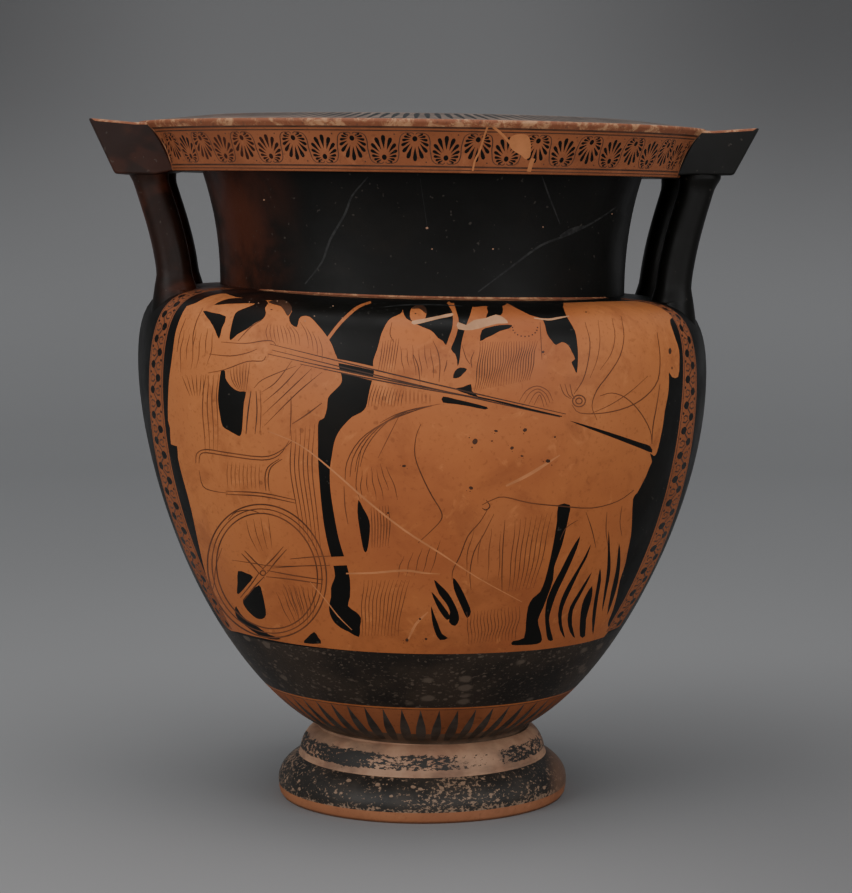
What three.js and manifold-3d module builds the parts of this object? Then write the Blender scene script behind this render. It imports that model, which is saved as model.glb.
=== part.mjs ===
// Column krater: a mixing bowl of fired clay with a tall neck, a heavy overhanging rim,
// a two-step foot and two handles, each of two columns under a flat plate.
// Millimetres, +Z up. The origin is the centre of the resting ring under the foot,
// the handles lie along X and the painted front faces -Y.
import * as THREE from "three";
import { mergeVertices } from "three/addons/utils/BufferGeometryUtils.js";
import Module from "manifold-3d";

// Foot
const foot_radius = 103.4;
const foot_widest_height = 11;
const foot_edge_round = 2.6;
const foot_ring_outer_radius = foot_radius - foot_edge_round;
const foot_ring_width = 17.8;
const foot_ring_inner_radius = foot_ring_outer_radius - foot_ring_width;
const torus_step = 15.4;
const torus_rise = 18;
const collar_radius = foot_radius - torus_step;
const collar_base_height = foot_widest_height + torus_rise;
const collar_taper = 12.8;
const collar_rise = 20;
const stem_radius = collar_radius - collar_taper;
const stem_height = collar_base_height + collar_rise;
const stem_spread = 3.1;
const stem_fillet_rise = 4.2;

// Body
const body_start_radius = stem_radius + stem_spread;
const body_start_height = stem_height + stem_fillet_rise;
const body_radius = 200.6;
const bowl_rise = 252.8;
const body_widest_height = body_start_height + bowl_rise;
const body_fullness_low = 70.6;
const body_fullness_high = 92.5;
const body_start_angle_deg = 28.4;
const shoulder_rise = 54.6;
const shoulder_fullness = 57;
const shoulder_flatness = 33;
const shoulder_end_angle_deg = 7;

// Neck and rim
const shoulder_width = 58;
const neck_radius = body_radius - shoulder_width;
const neck_base_height = body_widest_height + shoulder_rise;
const neck_flare = 11.9;
const neck_rise = 80.9;
const neck_top_radius = neck_radius + neck_flare;
const rim_base_height = neck_base_height + neck_rise;
const rim_overhang = 28.5;
const rim_flare = 16.2;
const rim_face_rise = 32.5;
const rim_base_radius = neck_top_radius + rim_overhang;
const rim_top_radius = rim_base_radius + rim_flare;
const rim_edge_height = rim_base_height + rim_face_rise;
const lip_inset = 4.5;
const lip_rise = 6;
const lip_radius = neck_top_radius - lip_inset;
const lip_height = rim_edge_height + lip_rise;

// Walls
const body_wall = 7;
const base_wall_extra = 5;
const neck_wall = 7.5;
const floor_rise = 2.8;
const floor_thickness = 20;
const floor_height = body_start_height + floor_rise;
const foot_hollow_height = floor_height - floor_thickness;

// Handles
const plate_overhang = 29.3;
const plate_reach = rim_top_radius + plate_overhang;
const plate_edge_lean = 17.5;
const plate_base_reach = plate_reach - plate_edge_lean;
const plate_top_rise = 2;
const plate_top_height = rim_edge_height + plate_top_rise;
const left_plate_thickness = 37.5;
const right_plate_thickness = 32.5;
const plate_root_inset = 17;
const plate_bevel = 1.6;
const column_spacing = 92;
const column_breadth = 24.4;
const column_depth = 26;
const plate_beyond_columns = 3;
const plate_width = column_spacing + column_depth + 2 * plate_beyond_columns;
const column_lean = 18.6;
const column_under_plate = 21;
const column_top_reach = plate_base_reach - column_under_plate;
const column_foot_reach = column_top_reach - column_lean;
const column_top_fillet = 2;
const column_foot_spread = 5;
const column_root = 3.5;

// Sag of the clay in drying and firing: level lines dip towards +X by these angles
const shoulder_sag_deg = 1.3;
const rim_sag_deg = 0.8;
const sag_below_widest = 16;
const sag_blend = 170;
const sag_full_height = body_widest_height - sag_below_widest;
const sag_start_height = sag_full_height - sag_blend;

const segments = 60;
const column_sides = 16;

// Points of a cubic curve, without its first point
function curve(p0, p1, p2, p3, count) {
  const bezier = new THREE.CubicBezierCurve(
    new THREE.Vector2(...p0),
    new THREE.Vector2(...p1),
    new THREE.Vector2(...p2),
    new THREE.Vector2(...p3),
  );
  const points = [];
  for (let i = 1; i <= count; i += 1) {
    points.push(bezier.getPoint(i / count));
  }
  return points;
}

// The same curve moved inwards by a wall thickness that may change along it
function innerCurve(p0, p1, p2, p3, count, wall) {
  const bezier = new THREE.CubicBezierCurve(
    new THREE.Vector2(...p0),
    new THREE.Vector2(...p1),
    new THREE.Vector2(...p2),
    new THREE.Vector2(...p3),
  );
  const points = [];
  for (let i = 0; i <= count; i += 1) {
    const t = i / count;
    const point = bezier.getPoint(t);
    const along = bezier.getTangent(t);
    points.push(new THREE.Vector2(point.x - along.y * wall(t), point.y + along.x * wall(t)));
  }
  return points;
}

const rad = THREE.MathUtils.degToRad;

// Control points of the three long curves of the outside
const bodyLow = [
  [body_start_radius, body_start_height],
  [
    body_start_radius + body_fullness_low * Math.cos(rad(body_start_angle_deg)),
    body_start_height + body_fullness_low * Math.sin(rad(body_start_angle_deg)),
  ],
  [body_radius, body_widest_height - body_fullness_high],
  [body_radius, body_widest_height],
];
const bodyHigh = [
  [body_radius, body_widest_height],
  [body_radius, body_widest_height + shoulder_fullness],
  [
    neck_radius + shoulder_flatness * Math.cos(rad(shoulder_end_angle_deg)),
    neck_base_height - shoulder_flatness * Math.sin(rad(shoulder_end_angle_deg)),
  ],
  [neck_radius, neck_base_height],
];
const neck = [
  [neck_radius, neck_base_height],
  [neck_radius, neck_base_height + neck_rise * 0.43],
  [neck_radius + neck_flare * 0.42, neck_base_height + neck_rise * 0.73],
  [neck_top_radius, rim_base_height],
];

function outsideProfile() {
  return [
    new THREE.Vector2(0, foot_hollow_height),
    ...curve(
      [0, foot_hollow_height],
      [foot_ring_inner_radius * 0.45, foot_hollow_height],
      [foot_ring_inner_radius * 0.82, foot_hollow_height * 0.7],
      [foot_ring_inner_radius, 0],
      5,
    ),
    new THREE.Vector2(foot_ring_outer_radius, 0),
    ...curve(
      [foot_ring_outer_radius, 0],
      [foot_ring_outer_radius + foot_edge_round * 0.62, foot_widest_height * 0.036],
      [foot_radius, foot_widest_height * 0.41],
      [foot_radius, foot_widest_height],
      3,
    ),
    ...curve(
      [foot_radius, foot_widest_height],
      [foot_radius, foot_widest_height + torus_rise * 0.45],
      [collar_radius + torus_step * 0.55, collar_base_height - torus_rise * 0.19],
      [collar_radius + 1, collar_base_height],
      4,
    ),
    new THREE.Vector2(collar_radius, collar_base_height + 1.6),
    ...curve(
      [collar_radius, collar_base_height + 1.6],
      [collar_radius - collar_taper * 0.11, collar_base_height + collar_rise * 0.3],
      [stem_radius + collar_taper * 0.41, stem_height - collar_rise * 0.3],
      [stem_radius, stem_height],
      4,
    ),
    new THREE.Vector2(body_start_radius, body_start_height),
    ...curve(...bodyLow, 12),
    ...curve(...bodyHigh, 7),
    ...curve(...neck, 4),
    new THREE.Vector2(rim_base_radius - 1.5, rim_base_height - 0.5),
    ...curve(
      [rim_base_radius, rim_base_height + 0.8],
      [rim_base_radius + rim_flare * 0.22, rim_base_height + rim_face_rise * 0.29],
      [rim_base_radius + rim_flare * 0.5, rim_base_height + rim_face_rise * 0.68],
      [rim_top_radius - 0.4, rim_edge_height - 1.5],
      4,
    ),
    new THREE.Vector2(rim_top_radius, rim_edge_height),
    new THREE.Vector2(rim_top_radius - 1, rim_edge_height + 0.9),
    new THREE.Vector2(lip_radius + 2.5, lip_height),
    new THREE.Vector2(lip_radius, lip_height - 1.2),
  ];
}

function insideProfile() {
  const low = innerCurve(...bodyLow, 6, (t) => body_wall + base_wall_extra * (1 - t) * (1 - t));
  const high = innerCurve(...bodyHigh, 4, () => body_wall);
  const throat = innerCurve(...neck, 3, () => neck_wall);
  return [
    new THREE.Vector2(0, floor_height),
    new THREE.Vector2(low[0].x * 0.55, floor_height + 1.5),
    ...low,
    ...high.slice(1),
    ...throat,
  ];
}

// A closed geometry as a solid for joining
function solid(wasm, geometry) {
  const bare = geometry.clone();
  bare.deleteAttribute("normal");
  bare.deleteAttribute("uv");
  const welded = mergeVertices(bare, 1e-4);
  const index = welded.index.array;
  const triangles = [];
  for (let i = 0; i < index.length; i += 3) {
    const [a, b, c] = [index[i], index[i + 1], index[i + 2]];
    if (a !== b && b !== c && c !== a) {
      triangles.push(a, b, c);
    }
  }
  const mesh = new wasm.Mesh({
    numProp: 3,
    vertProperties: new Float32Array(welded.attributes.position.array),
    triVerts: new Uint32Array(triangles),
  });
  return new wasm.Manifold(mesh);
}

// The bowl turned about the upright axis
function vessel() {
  const profile = [...outsideProfile(), ...insideProfile().reverse()];
  const geometry = new THREE.LatheGeometry(profile, segments);
  geometry.rotateX(Math.PI / 2);
  return geometry;
}

// The plate over a pair of columns, on the side given by the sign
function plate(side) {
  const base = plate_top_height - (side < 0 ? left_plate_thickness : right_plate_thickness);
  const root = rim_base_radius - plate_root_inset;
  const outline = new THREE.Shape();
  outline.moveTo(side * root, rim_base_height + 1);
  outline.lineTo(side * (rim_base_radius + 1), base);
  outline.lineTo(side * plate_base_reach, base);
  outline.lineTo(side * plate_reach, plate_top_height);
  outline.lineTo(side * (rim_top_radius - 2), rim_edge_height - 0.4);
  outline.lineTo(side * root, rim_edge_height);
  outline.closePath();
  const geometry = new THREE.ExtrudeGeometry(outline, {
    depth: plate_width - 2 * plate_bevel,
    bevelEnabled: true,
    bevelThickness: plate_bevel,
    bevelSize: plate_bevel,
    bevelOffset: -plate_bevel,
    bevelSegments: 2,
  });
  geometry.rotateX(Math.PI / 2);
  geometry.translate(0, plate_width / 2 - plate_bevel, 0);
  return geometry;
}

// Height of the outside of the shoulder at a distance from the axis
function shoulderHeight(radius) {
  const points = [new THREE.Vector2(...bodyHigh[0]), ...curve(...bodyHigh, 24)];
  for (let i = 1; i < points.length; i += 1) {
    const [low, high] = [points[i - 1], points[i]];
    if (radius <= low.x && radius >= high.x) {
      const share = (low.x - radius) / (low.x - high.x);
      return low.y + share * (high.y - low.y);
    }
  }
  return radius < neck_radius ? neck_base_height : body_widest_height;
}

// One column, a leaning rod that spreads a little under the plate and into the shoulder
function column(side, row) {
  const start = shoulderHeight(Math.hypot(column_foot_reach, column_spacing / 2)) + 1.5;
  const rise = rim_base_height - start;
  const centreLine = new THREE.CubicBezierCurve(
    new THREE.Vector2(column_foot_reach, start),
    new THREE.Vector2(column_foot_reach + column_lean * 0.086, start + rise * 0.38),
    new THREE.Vector2(column_top_reach - column_lean * 0.43, start + rise * 0.68),
    new THREE.Vector2(column_top_reach, rim_base_height),
  );
  const middle = (row * column_spacing) / 2;
  const positions = [];
  const ring = (centre, grow, height) => {
    for (let k = 0; k < column_sides; k += 1) {
      const angle = (2 * Math.PI * k) / column_sides;
      const x = side * centre + (column_breadth / 2 + grow) * Math.cos(angle);
      const y = middle + (column_depth / 2 + grow) * Math.sin(angle);
      positions.push(x, y, height(Math.hypot(x, y)));
    }
  };
  ring(column_foot_reach, column_foot_spread, (radius) => shoulderHeight(radius) - column_root);
  for (const t of [0, 0.05, 0.13, 0.3, 0.5, 0.68, 0.85, 0.93, 1]) {
    const centre = centreLine.getPoint(t);
    const foot = column_foot_spread * 0.4 * (1 - THREE.MathUtils.smoothstep(t, 0, 0.13));
    const head = column_top_fillet * THREE.MathUtils.smoothstep(t, 0.85, 1);
    ring(centre.x, foot + head, () => centre.y);
  }
  ring(column_top_reach, column_top_fillet, () => rim_base_height + 8);
  const rings = positions.length / 3 / column_sides;
  const bottom = positions.length / 3;
  const footRadius = Math.hypot(column_foot_reach, middle);
  positions.push(side * column_foot_reach, middle, shoulderHeight(footRadius) - column_root);
  positions.push(side * column_top_reach, middle, rim_base_height + 8);
  const index = [];
  for (let k = 0; k < column_sides; k += 1) {
    const next = (k + 1) % column_sides;
    for (let j = 0; j + 1 < rings; j += 1) {
      const a = j * column_sides + k;
      const b = j * column_sides + next;
      index.push(a, b, b + column_sides, a, b + column_sides, a + column_sides);
    }
    const top = (rings - 1) * column_sides;
    index.push(bottom, next, k);
    index.push(bottom + 1, top + k, top + next);
  }
  const geometry = new THREE.BufferGeometry();
  geometry.setAttribute("position", new THREE.Float32BufferAttribute(positions, 3));
  geometry.setIndex(index);
  return geometry;
}

// Sag angle at a height: none low down, the shoulder's higher up, the rim's at the top
function sagAngle(height) {
  const rise = THREE.MathUtils.smoothstep(height, sag_start_height, sag_full_height);
  const ease = THREE.MathUtils.smoothstep(height, neck_base_height, rim_base_height);
  return rad(rise * THREE.MathUtils.lerp(shoulder_sag_deg, rim_sag_deg, ease));
}

const wasm = await Module();
wasm.setup();

let pot = solid(wasm, vessel());
for (const side of [-1, 1]) {
  pot = pot.add(solid(wasm, plate(side)));
  for (const row of [-1, 1]) {
    pot = pot.add(solid(wasm, column(side, row)));
  }
}

const result = pot.getMesh();
const vertices = new Float32Array(result.numVert * 3);
for (let i = 0; i < result.numVert; i += 1) {
  const [x, y, z] = result.vertProperties.slice(i * result.numProp, i * result.numProp + 3);
  vertices.set([x, y, z - x * Math.tan(sagAngle(z))], i * 3);
}
const geometry = new THREE.BufferGeometry();
geometry.setAttribute("position", new THREE.BufferAttribute(vertices, 3));
geometry.setIndex(Array.from(result.triVerts));
geometry.computeVertexNormals();

const krater = new THREE.Mesh(geometry, new THREE.MeshStandardMaterial({ color: 0x2b2623 }));
krater.name = "krater";

const group = new THREE.Group();
group.name = "column_krater";
group.add(krater);

export default group;
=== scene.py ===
import math

import bpy
import numpy as np
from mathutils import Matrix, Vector
from mathutils.geometry import delaunay_2d_cdt


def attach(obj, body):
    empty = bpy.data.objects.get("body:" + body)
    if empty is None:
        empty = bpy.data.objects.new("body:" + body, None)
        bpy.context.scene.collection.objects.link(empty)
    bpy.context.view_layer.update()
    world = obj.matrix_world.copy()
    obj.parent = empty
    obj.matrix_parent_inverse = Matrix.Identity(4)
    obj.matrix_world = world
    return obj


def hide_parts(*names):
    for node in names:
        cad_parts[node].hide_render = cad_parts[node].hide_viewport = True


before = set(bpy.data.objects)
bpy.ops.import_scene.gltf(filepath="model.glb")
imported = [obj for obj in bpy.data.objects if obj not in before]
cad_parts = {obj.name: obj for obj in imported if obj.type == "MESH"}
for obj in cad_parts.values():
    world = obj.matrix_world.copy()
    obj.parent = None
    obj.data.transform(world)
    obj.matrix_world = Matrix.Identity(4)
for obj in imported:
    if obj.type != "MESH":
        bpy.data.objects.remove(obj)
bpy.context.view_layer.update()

# All lengths are millimetres until the meshes are made.
MM = 0.001

# Sizes of the pot, as in the CAD

FOOT_RADIUS = 103.4
FOOT_WIDEST = 11.0
RING_OUT = 100.8
RING_IN = 83.0
HOLLOW = 36.0
COLLAR_RADIUS = 88.0
COLLAR_BASE = 29.0
STEM_RADIUS = 75.2
STEM = 49.0
BODY_RADIUS = 200.6
WIDEST = 306.0
NECK_RADIUS = 142.6
NECK_BASE = 360.6
NECK_TOP_RADIUS = 154.5
RIM_BASE = 441.5
RIM_BASE_RADIUS = 183.0
RIM_RADIUS = 199.2
RIM_EDGE = 474.0
LIP_RADIUS = 150.0
LIP = 480.0
BODY_WALL = 7.0
BASE_EXTRA = 5.0
NECK_WALL = 7.5
FLOOR = 56.0
SHOULDER_SAG = math.radians(1.3)
RIM_SAG = math.radians(0.8)

# Where the body starts over the stem, and how its curve leaves its ends

BODY_START_RADIUS = 78.3
BODY_START = 53.2
LOW_ANGLE = math.radians(28.4)
LOW_PULL = 70.6
WIDEST_PULL_DOWN = 92.5
WIDEST_PULL_UP = 57.0
SHOULDER_ANGLE = math.radians(7)
SHOULDER_PULL = 33.0
UNDER_RIM_ROUND = 1.5
RIM_ROUND = 1.0
LIP_ROUND = 2.5


def bezier(p0, p1, p2, p3, count):
    """Points along a curve that starts at the first point, bends to the next two and ends at the last."""
    t = np.linspace(0, 1, count + 1)[:, None]
    p0, p1, p2, p3 = (np.array(p, float) for p in (p0, p1, p2, p3))
    return (1 - t) ** 3 * p0 + 3 * (1 - t) ** 2 * t * p1 + 3 * (1 - t) * t * t * p2 + t ** 3 * p3


def straight(p0, p1, count):
    """Evenly spaced points along a line."""
    t = np.linspace(0, 1, count + 1)[:, None]
    return np.array(p0, float) * (1 - t) + np.array(p1, float) * t


def inward(points, walls):
    """The points moved in from the surface by the wall's thickness."""
    along = np.gradient(points, axis=0)
    along /= np.linalg.norm(along, axis=1)[:, None]
    return points + np.c_[-along[:, 1], along[:, 0]] * walls[:, None]


def body_curves():
    """The body below and above its widest line, and the neck."""
    rise = RIM_BASE - NECK_BASE
    widen = NECK_TOP_RADIUS - NECK_RADIUS
    body_low = bezier(
        (BODY_START_RADIUS, BODY_START),
        (BODY_START_RADIUS + LOW_PULL * math.cos(LOW_ANGLE), BODY_START + LOW_PULL * math.sin(LOW_ANGLE)),
        (BODY_RADIUS, WIDEST - WIDEST_PULL_DOWN), (BODY_RADIUS, WIDEST), 400)
    body_high = bezier(
        (BODY_RADIUS, WIDEST), (BODY_RADIUS, WIDEST + WIDEST_PULL_UP),
        (NECK_RADIUS + SHOULDER_PULL * math.cos(SHOULDER_ANGLE),
         NECK_BASE - SHOULDER_PULL * math.sin(SHOULDER_ANGLE)),
        (NECK_RADIUS, NECK_BASE), 200)
    neck = bezier(
        (NECK_RADIUS, NECK_BASE), (NECK_RADIUS, NECK_BASE + rise * 0.43),
        (NECK_RADIUS + widen * 0.42, NECK_BASE + rise * 0.73), (NECK_TOP_RADIUS, RIM_BASE), 120)
    return body_low, body_high, neck


def foot_curves():
    """The parts of the foot, from its hollow to the stem."""
    hollow = bezier((0, HOLLOW), (RING_IN * 0.45, HOLLOW), (RING_IN * 0.82, HOLLOW * 0.7), (RING_IN, 0), 80)
    edge = bezier((RING_OUT, 0), (RING_OUT + 1.6, 0.4), (FOOT_RADIUS, 4.5), (FOOT_RADIUS, FOOT_WIDEST), 30)
    step = bezier(
        (FOOT_RADIUS, FOOT_WIDEST), (FOOT_RADIUS, FOOT_WIDEST + 8),
        (COLLAR_RADIUS + 8.5, COLLAR_BASE - 3.5), (COLLAR_RADIUS + 1, COLLAR_BASE), 50)
    collar = bezier(
        (COLLAR_RADIUS, COLLAR_BASE + 1.6), (COLLAR_RADIUS - 0.4, COLLAR_BASE + 7.5),
        (STEM_RADIUS + 9.5, STEM - 3), (STEM_RADIUS, STEM), 60)
    stem = bezier(
        (STEM_RADIUS, STEM), (STEM_RADIUS, STEM + 1.5), (STEM_RADIUS + 1.3, BODY_START - 1),
        (BODY_START_RADIUS, BODY_START), 12)
    return [
        ("hollow", hollow), ("ring", straight((RING_IN, 0), (RING_OUT, 0), 12)),
        ("foot", np.vstack([edge, step[1:]])),
        ("step", straight((COLLAR_RADIUS + 1, COLLAR_BASE), (COLLAR_RADIUS, COLLAR_BASE + 1.6), 2)),
        ("collar", collar), ("stem", stem)]


def rim_curve():
    """The face of the rim, with its two rounded edges."""
    rise = RIM_EDGE - RIM_BASE
    flare = RIM_RADIUS - RIM_BASE_RADIUS
    below = bezier(
        (RIM_BASE_RADIUS - UNDER_RIM_ROUND, RIM_BASE - 0.5), (RIM_BASE_RADIUS - 0.6, RIM_BASE - 0.5),
        (RIM_BASE_RADIUS - 0.1, RIM_BASE + 0.2), (RIM_BASE_RADIUS, RIM_BASE + 0.8), 6)
    face = bezier(
        (RIM_BASE_RADIUS, RIM_BASE + 0.8), (RIM_BASE_RADIUS + flare * 0.22, RIM_BASE + rise * 0.29),
        (RIM_BASE_RADIUS + flare * 0.5, RIM_BASE + rise * 0.68), (RIM_RADIUS - 0.4, RIM_EDGE - 1.5), 60)
    above = bezier(
        (RIM_RADIUS - 0.4, RIM_EDGE - 1.5), (RIM_RADIUS, RIM_EDGE - 0.6),
        (RIM_RADIUS - 0.1, RIM_EDGE + 0.6), (RIM_RADIUS - RIM_ROUND, RIM_EDGE + 0.9), 8)
    return np.vstack([below, face[1:], above[1:]])


def inner_curve(body_low, body_high, neck):
    """From the lip down the inside of the neck and the body to the middle of the bowl."""
    share = np.linspace(0, 1, len(body_low))
    in_low = inward(body_low, BODY_WALL + BASE_EXTRA * (1 - share) ** 2)
    in_high = inward(body_high, np.full(len(body_high), BODY_WALL))
    in_neck = inward(neck, np.full(len(neck), NECK_WALL))
    over = bezier(
        (LIP_RADIUS + LIP_ROUND, LIP), (LIP_RADIUS + 1, LIP + 0.1), (LIP_RADIUS, LIP - 0.3),
        (LIP_RADIUS, LIP - 1.2), 8)
    down = bezier((LIP_RADIUS, LIP - 1.2), (LIP_RADIUS, LIP - 10), in_neck[-1] + [0, 8], in_neck[-1], 20)
    floor = bezier(in_low[0], in_low[0] - [16, 5], (30, FLOOR), (0, FLOOR), 60)
    return np.vstack([
        over, down[1:], in_neck[::-1][1:], straight(in_neck[0], in_high[-1], 6)[1:], in_high[::-1][1:],
        in_low[::-1][1:], floor[1:]])


def profile_segments():
    body_low, body_high, neck = body_curves()
    rim_foot = (RIM_BASE_RADIUS - UNDER_RIM_ROUND, RIM_BASE - 0.5)
    return foot_curves() + [
        ("body", np.vstack([body_low, body_high[1:]])),
        ("neck", neck),
        ("under_rim", straight((NECK_TOP_RADIUS, RIM_BASE), rim_foot, 10)),
        ("rim", rim_curve()),
        ("top", straight((RIM_RADIUS - RIM_ROUND, RIM_EDGE + 0.9), (LIP_RADIUS + LIP_ROUND, LIP), 30)),
        ("lip", inner_curve(body_low, body_high, neck))]


class Profile:
    """The whole section as one path from the pole under the foot, over the lip, to the pole in the bowl."""

    def __init__(self):
        self.start, self.end = {}, {}
        s, r, z, nr, nz = [], [], [], [], []
        at = 0.0
        for name, points in profile_segments():
            steps = np.r_[0, np.cumsum(np.linalg.norm(np.diff(points, axis=0), axis=1))]
            tangent = np.gradient(points, steps, axis=0)
            tangent /= np.linalg.norm(tangent, axis=1)[:, None]
            s.append(at + steps)
            r.append(points[:, 0])
            z.append(points[:, 1])
            nr.append(tangent[:, 1])
            nz.append(-tangent[:, 0])
            self.start[name] = at
            at += steps[-1]
            self.end[name] = at
        self.bounds = np.array([a[0] for a in s] + [at])
        self.parts = list(zip(s, r, z, nr, nz))
        self.length = at

    def place(self, s):
        """Radius and height at path lengths."""
        s = np.asarray(s, float)
        allr = np.concatenate([p[1] for p in self.parts])
        allz = np.concatenate([p[2] for p in self.parts])
        alls = np.concatenate([p[0] for p in self.parts])
        return np.interp(s, alls, allr), np.interp(s, alls, allz)

    def normal(self, s, side):
        """Outward normal at path lengths s, taken from the part on which the path lengths side lie."""
        k = np.clip(np.searchsorted(self.bounds, side, side="right") - 1, 0, len(self.parts) - 1)
        out = np.zeros((len(s), 2))
        for j, (ps, _, _, pr, pz) in enumerate(self.parts):
            here = k == j
            out[here, 0] = np.interp(s[here], ps, pr)
            out[here, 1] = np.interp(s[here], ps, pz)
        return out / np.maximum(np.linalg.norm(out, axis=1), 1e-9)[:, None]

    def at_height(self, name, z):
        """Path length on an upright part at a height."""
        k = list(self.start).index(name)
        ps, _, pz, _, _ = self.parts[k]
        return float(np.interp(z, pz, ps))


SECTION = Profile()

# The pot is unrolled to a flat sheet: girth at this radius across, path length along
SHEET_RADIUS = 200.0
HALF = math.pi * SHEET_RADIUS


def smoothstep(x, a, b):
    """From 0 at the first limit to 1 at the second, level at both ends."""
    t = np.clip((np.asarray(x, float) - a) / (b - a), 0, 1)
    return t * t * (3 - 2 * t)


def sag(z, x):
    """Slope of the sag at a height, and its change with height. The left shoulder stands a little higher."""
    lean = SHOULDER_SAG * (1 + 0.45 * smoothstep(-np.asarray(x, float), 20, 150))

    def slope(h):
        ease = smoothstep(h, NECK_BASE, RIM_BASE)
        return np.tan(smoothstep(h, 120, 290) * (lean * (1 - ease) + RIM_SAG * ease))
    return slope(z), (slope(z + 0.5) - slope(z - 0.5))


def to_space(theta, s):
    """Places on the pot in space, from turns round the axis and path lengths."""
    r, z = SECTION.place(s)
    x = r * np.sin(theta)
    y = -r * np.cos(theta)
    return np.c_[x, y, z - x * sag(z, x)[0]]


# The camera stands 1.81 m from the axis, 429 mm up, looks down 5.69 degrees, a little from the left
VIEW_AZIMUTH = math.radians(-2.2)
VIEW_DISTANCE = 1810.0
VIEW_HEIGHT = 429.2
VIEW_PITCH = math.radians(5.69)
VIEW_FOCAL = 2553.0
VIEW_WIDTH, VIEW_TALL = 852.0, 893.0
AXIS_PIXEL = 422.3

LOOK = np.array([
    -math.sin(VIEW_AZIMUTH) * math.cos(VIEW_PITCH),
    math.cos(VIEW_AZIMUTH) * math.cos(VIEW_PITCH),
    -math.sin(VIEW_PITCH)])
RIGHT = np.array([math.cos(VIEW_AZIMUTH), math.sin(VIEW_AZIMUTH), 0.0])
UP = np.cross(RIGHT, LOOK)
EYE = np.array([
    math.sin(VIEW_AZIMUTH) * VIEW_DISTANCE, -math.cos(VIEW_AZIMUTH) * VIEW_DISTANCE, VIEW_HEIGHT])


def on_body(pixels):
    """Places on the unrolled pot that pixels of the view fall on, between foot and rim."""
    pixels = np.asarray(pixels, float)
    parts = [SECTION.parts[list(SECTION.start).index(name)] for name in ("stem", "body", "neck")]
    path, radius, height = (np.concatenate([p[k] for p in parts]) for k in range(3))
    across = (pixels[:, 0] - AXIS_PIXEL) / VIEW_FOCAL
    down = (pixels[:, 1] - VIEW_TALL / 2) / VIEW_FOCAL
    ray = LOOK + RIGHT * across[:, None] - UP * down[:, None]
    near = np.full(len(pixels), VIEW_DISTANCE - 260.0)
    far = -(EYE[:2] * ray[:, :2]).sum(axis=1) / (ray[:, :2] ** 2).sum(axis=1)

    def at(t):
        q = EYE + ray * t[:, None]
        z = q[:, 2] + q[:, 0] * sag(q[:, 2], q[:, 0])[0]
        return q, z, np.hypot(q[:, 0], q[:, 1]) - np.interp(z, height, radius)

    low, high = near.copy(), far.copy()
    hit = np.zeros(len(pixels), bool)
    closest, closest_t = np.full(len(pixels), 1e9), far.copy()
    last = near
    for share in np.linspace(0, 1, 60):
        t = near + (far - near) * share
        gap = at(t)[2]
        first = ~hit & (gap <= 0)
        high[first], low[first] = t[first], last[first]
        hit |= first
        nearer = ~hit & (gap < closest)
        closest[nearer], closest_t[nearer] = gap[nearer], t[nearer]
        last = t
    for _ in range(30):
        middle = (low + high) / 2
        inside = at(middle)[2] <= 0
        high = np.where(inside, middle, high)
        low = np.where(inside, low, middle)
    q, z, _ = at(np.where(hit, (low + high) / 2, closest_t))
    return np.c_[SHEET_RADIUS * np.arctan2(q[:, 0], -q[:, 1]), np.interp(z, height, path)]


# Paints, by the number of the material slot
(BLACK, CLAY, DILUTE, WORN, TOP, PALE, PLASTER, INSIDE, UNDER, BORDER, RIM_CLAY, RIM_LINE,
 NECK_CRACK, WASH, EDGE, SPOT, LOW_BLACK, FOOT_BLACK, FOOT_CLAY, RAY) = range(20)

LINE_WEIGHT = {DILUTE: 1.4, SPOT: 1.3}

areas = []      # outlines on the unrolled pot, each with its paint, in painting order


def densify(points, step):
    """The closed outline with points added, so that none of its sides is longer than the step."""
    out = []
    for a, b in zip(points, np.roll(points, -1, axis=0)):
        n = max(1, int(math.ceil(np.linalg.norm(b - a) / step)))
        out.extend(a + (b - a) * k / n for k in range(n))
    return np.array(out)


def clip(points, limit, sign):
    """The part of an outline on one side of an upright line."""
    out = []
    inside = sign * (points[:, 0] - limit) <= 0
    for i in range(len(points)):
        a, b = points[i - 1], points[i]
        if inside[i] != inside[i - 1]:
            share = (limit - a[0]) / (b[0] - a[0])
            out.append(a + (b - a) * share)
        if inside[i]:
            out.append(b)
    return np.array(out)


def paint(points, code, step=4.5):
    """Lay a paint inside an outline. One that runs over the seam at the back is cut there."""
    points = densify(np.asarray(points, float), step)
    low, high = points[:, 0].min(), points[:, 0].max()
    if low < -HALF or high > HALF:
        sign = 1 if high > HALF else -1
        rest = clip(points, sign * HALF, -sign)
        points = clip(points, sign * HALF, sign)
        if len(rest) > 2:
            rest[:, 0] -= sign * 2 * HALF
            areas.append((rest, code))
    if len(points) > 2:
        areas.append((points, code))


def smooth(points, closed=True, n=4):
    """A rounded line through the points."""
    p = np.asarray(points, float)
    if closed:
        p = np.vstack([p[-1], p, p[0], p[1]])
    else:
        p = np.vstack([2 * p[0] - p[1], p, 2 * p[-1] - p[-2]])
    out = []
    for i in range(1, len(p) - 2):
        a, b, c, d = p[i - 1], p[i], p[i + 1], p[i + 2]
        for k in range(n):
            t = k / n
            out.append(0.5 * (2 * b + (c - a) * t + (2 * a - 5 * b + 4 * c - d) * t * t
                              + (3 * b - a - 3 * c + d) * t ** 3))
    if not closed:
        out.append(p[-2])
    return np.array(out)


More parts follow.
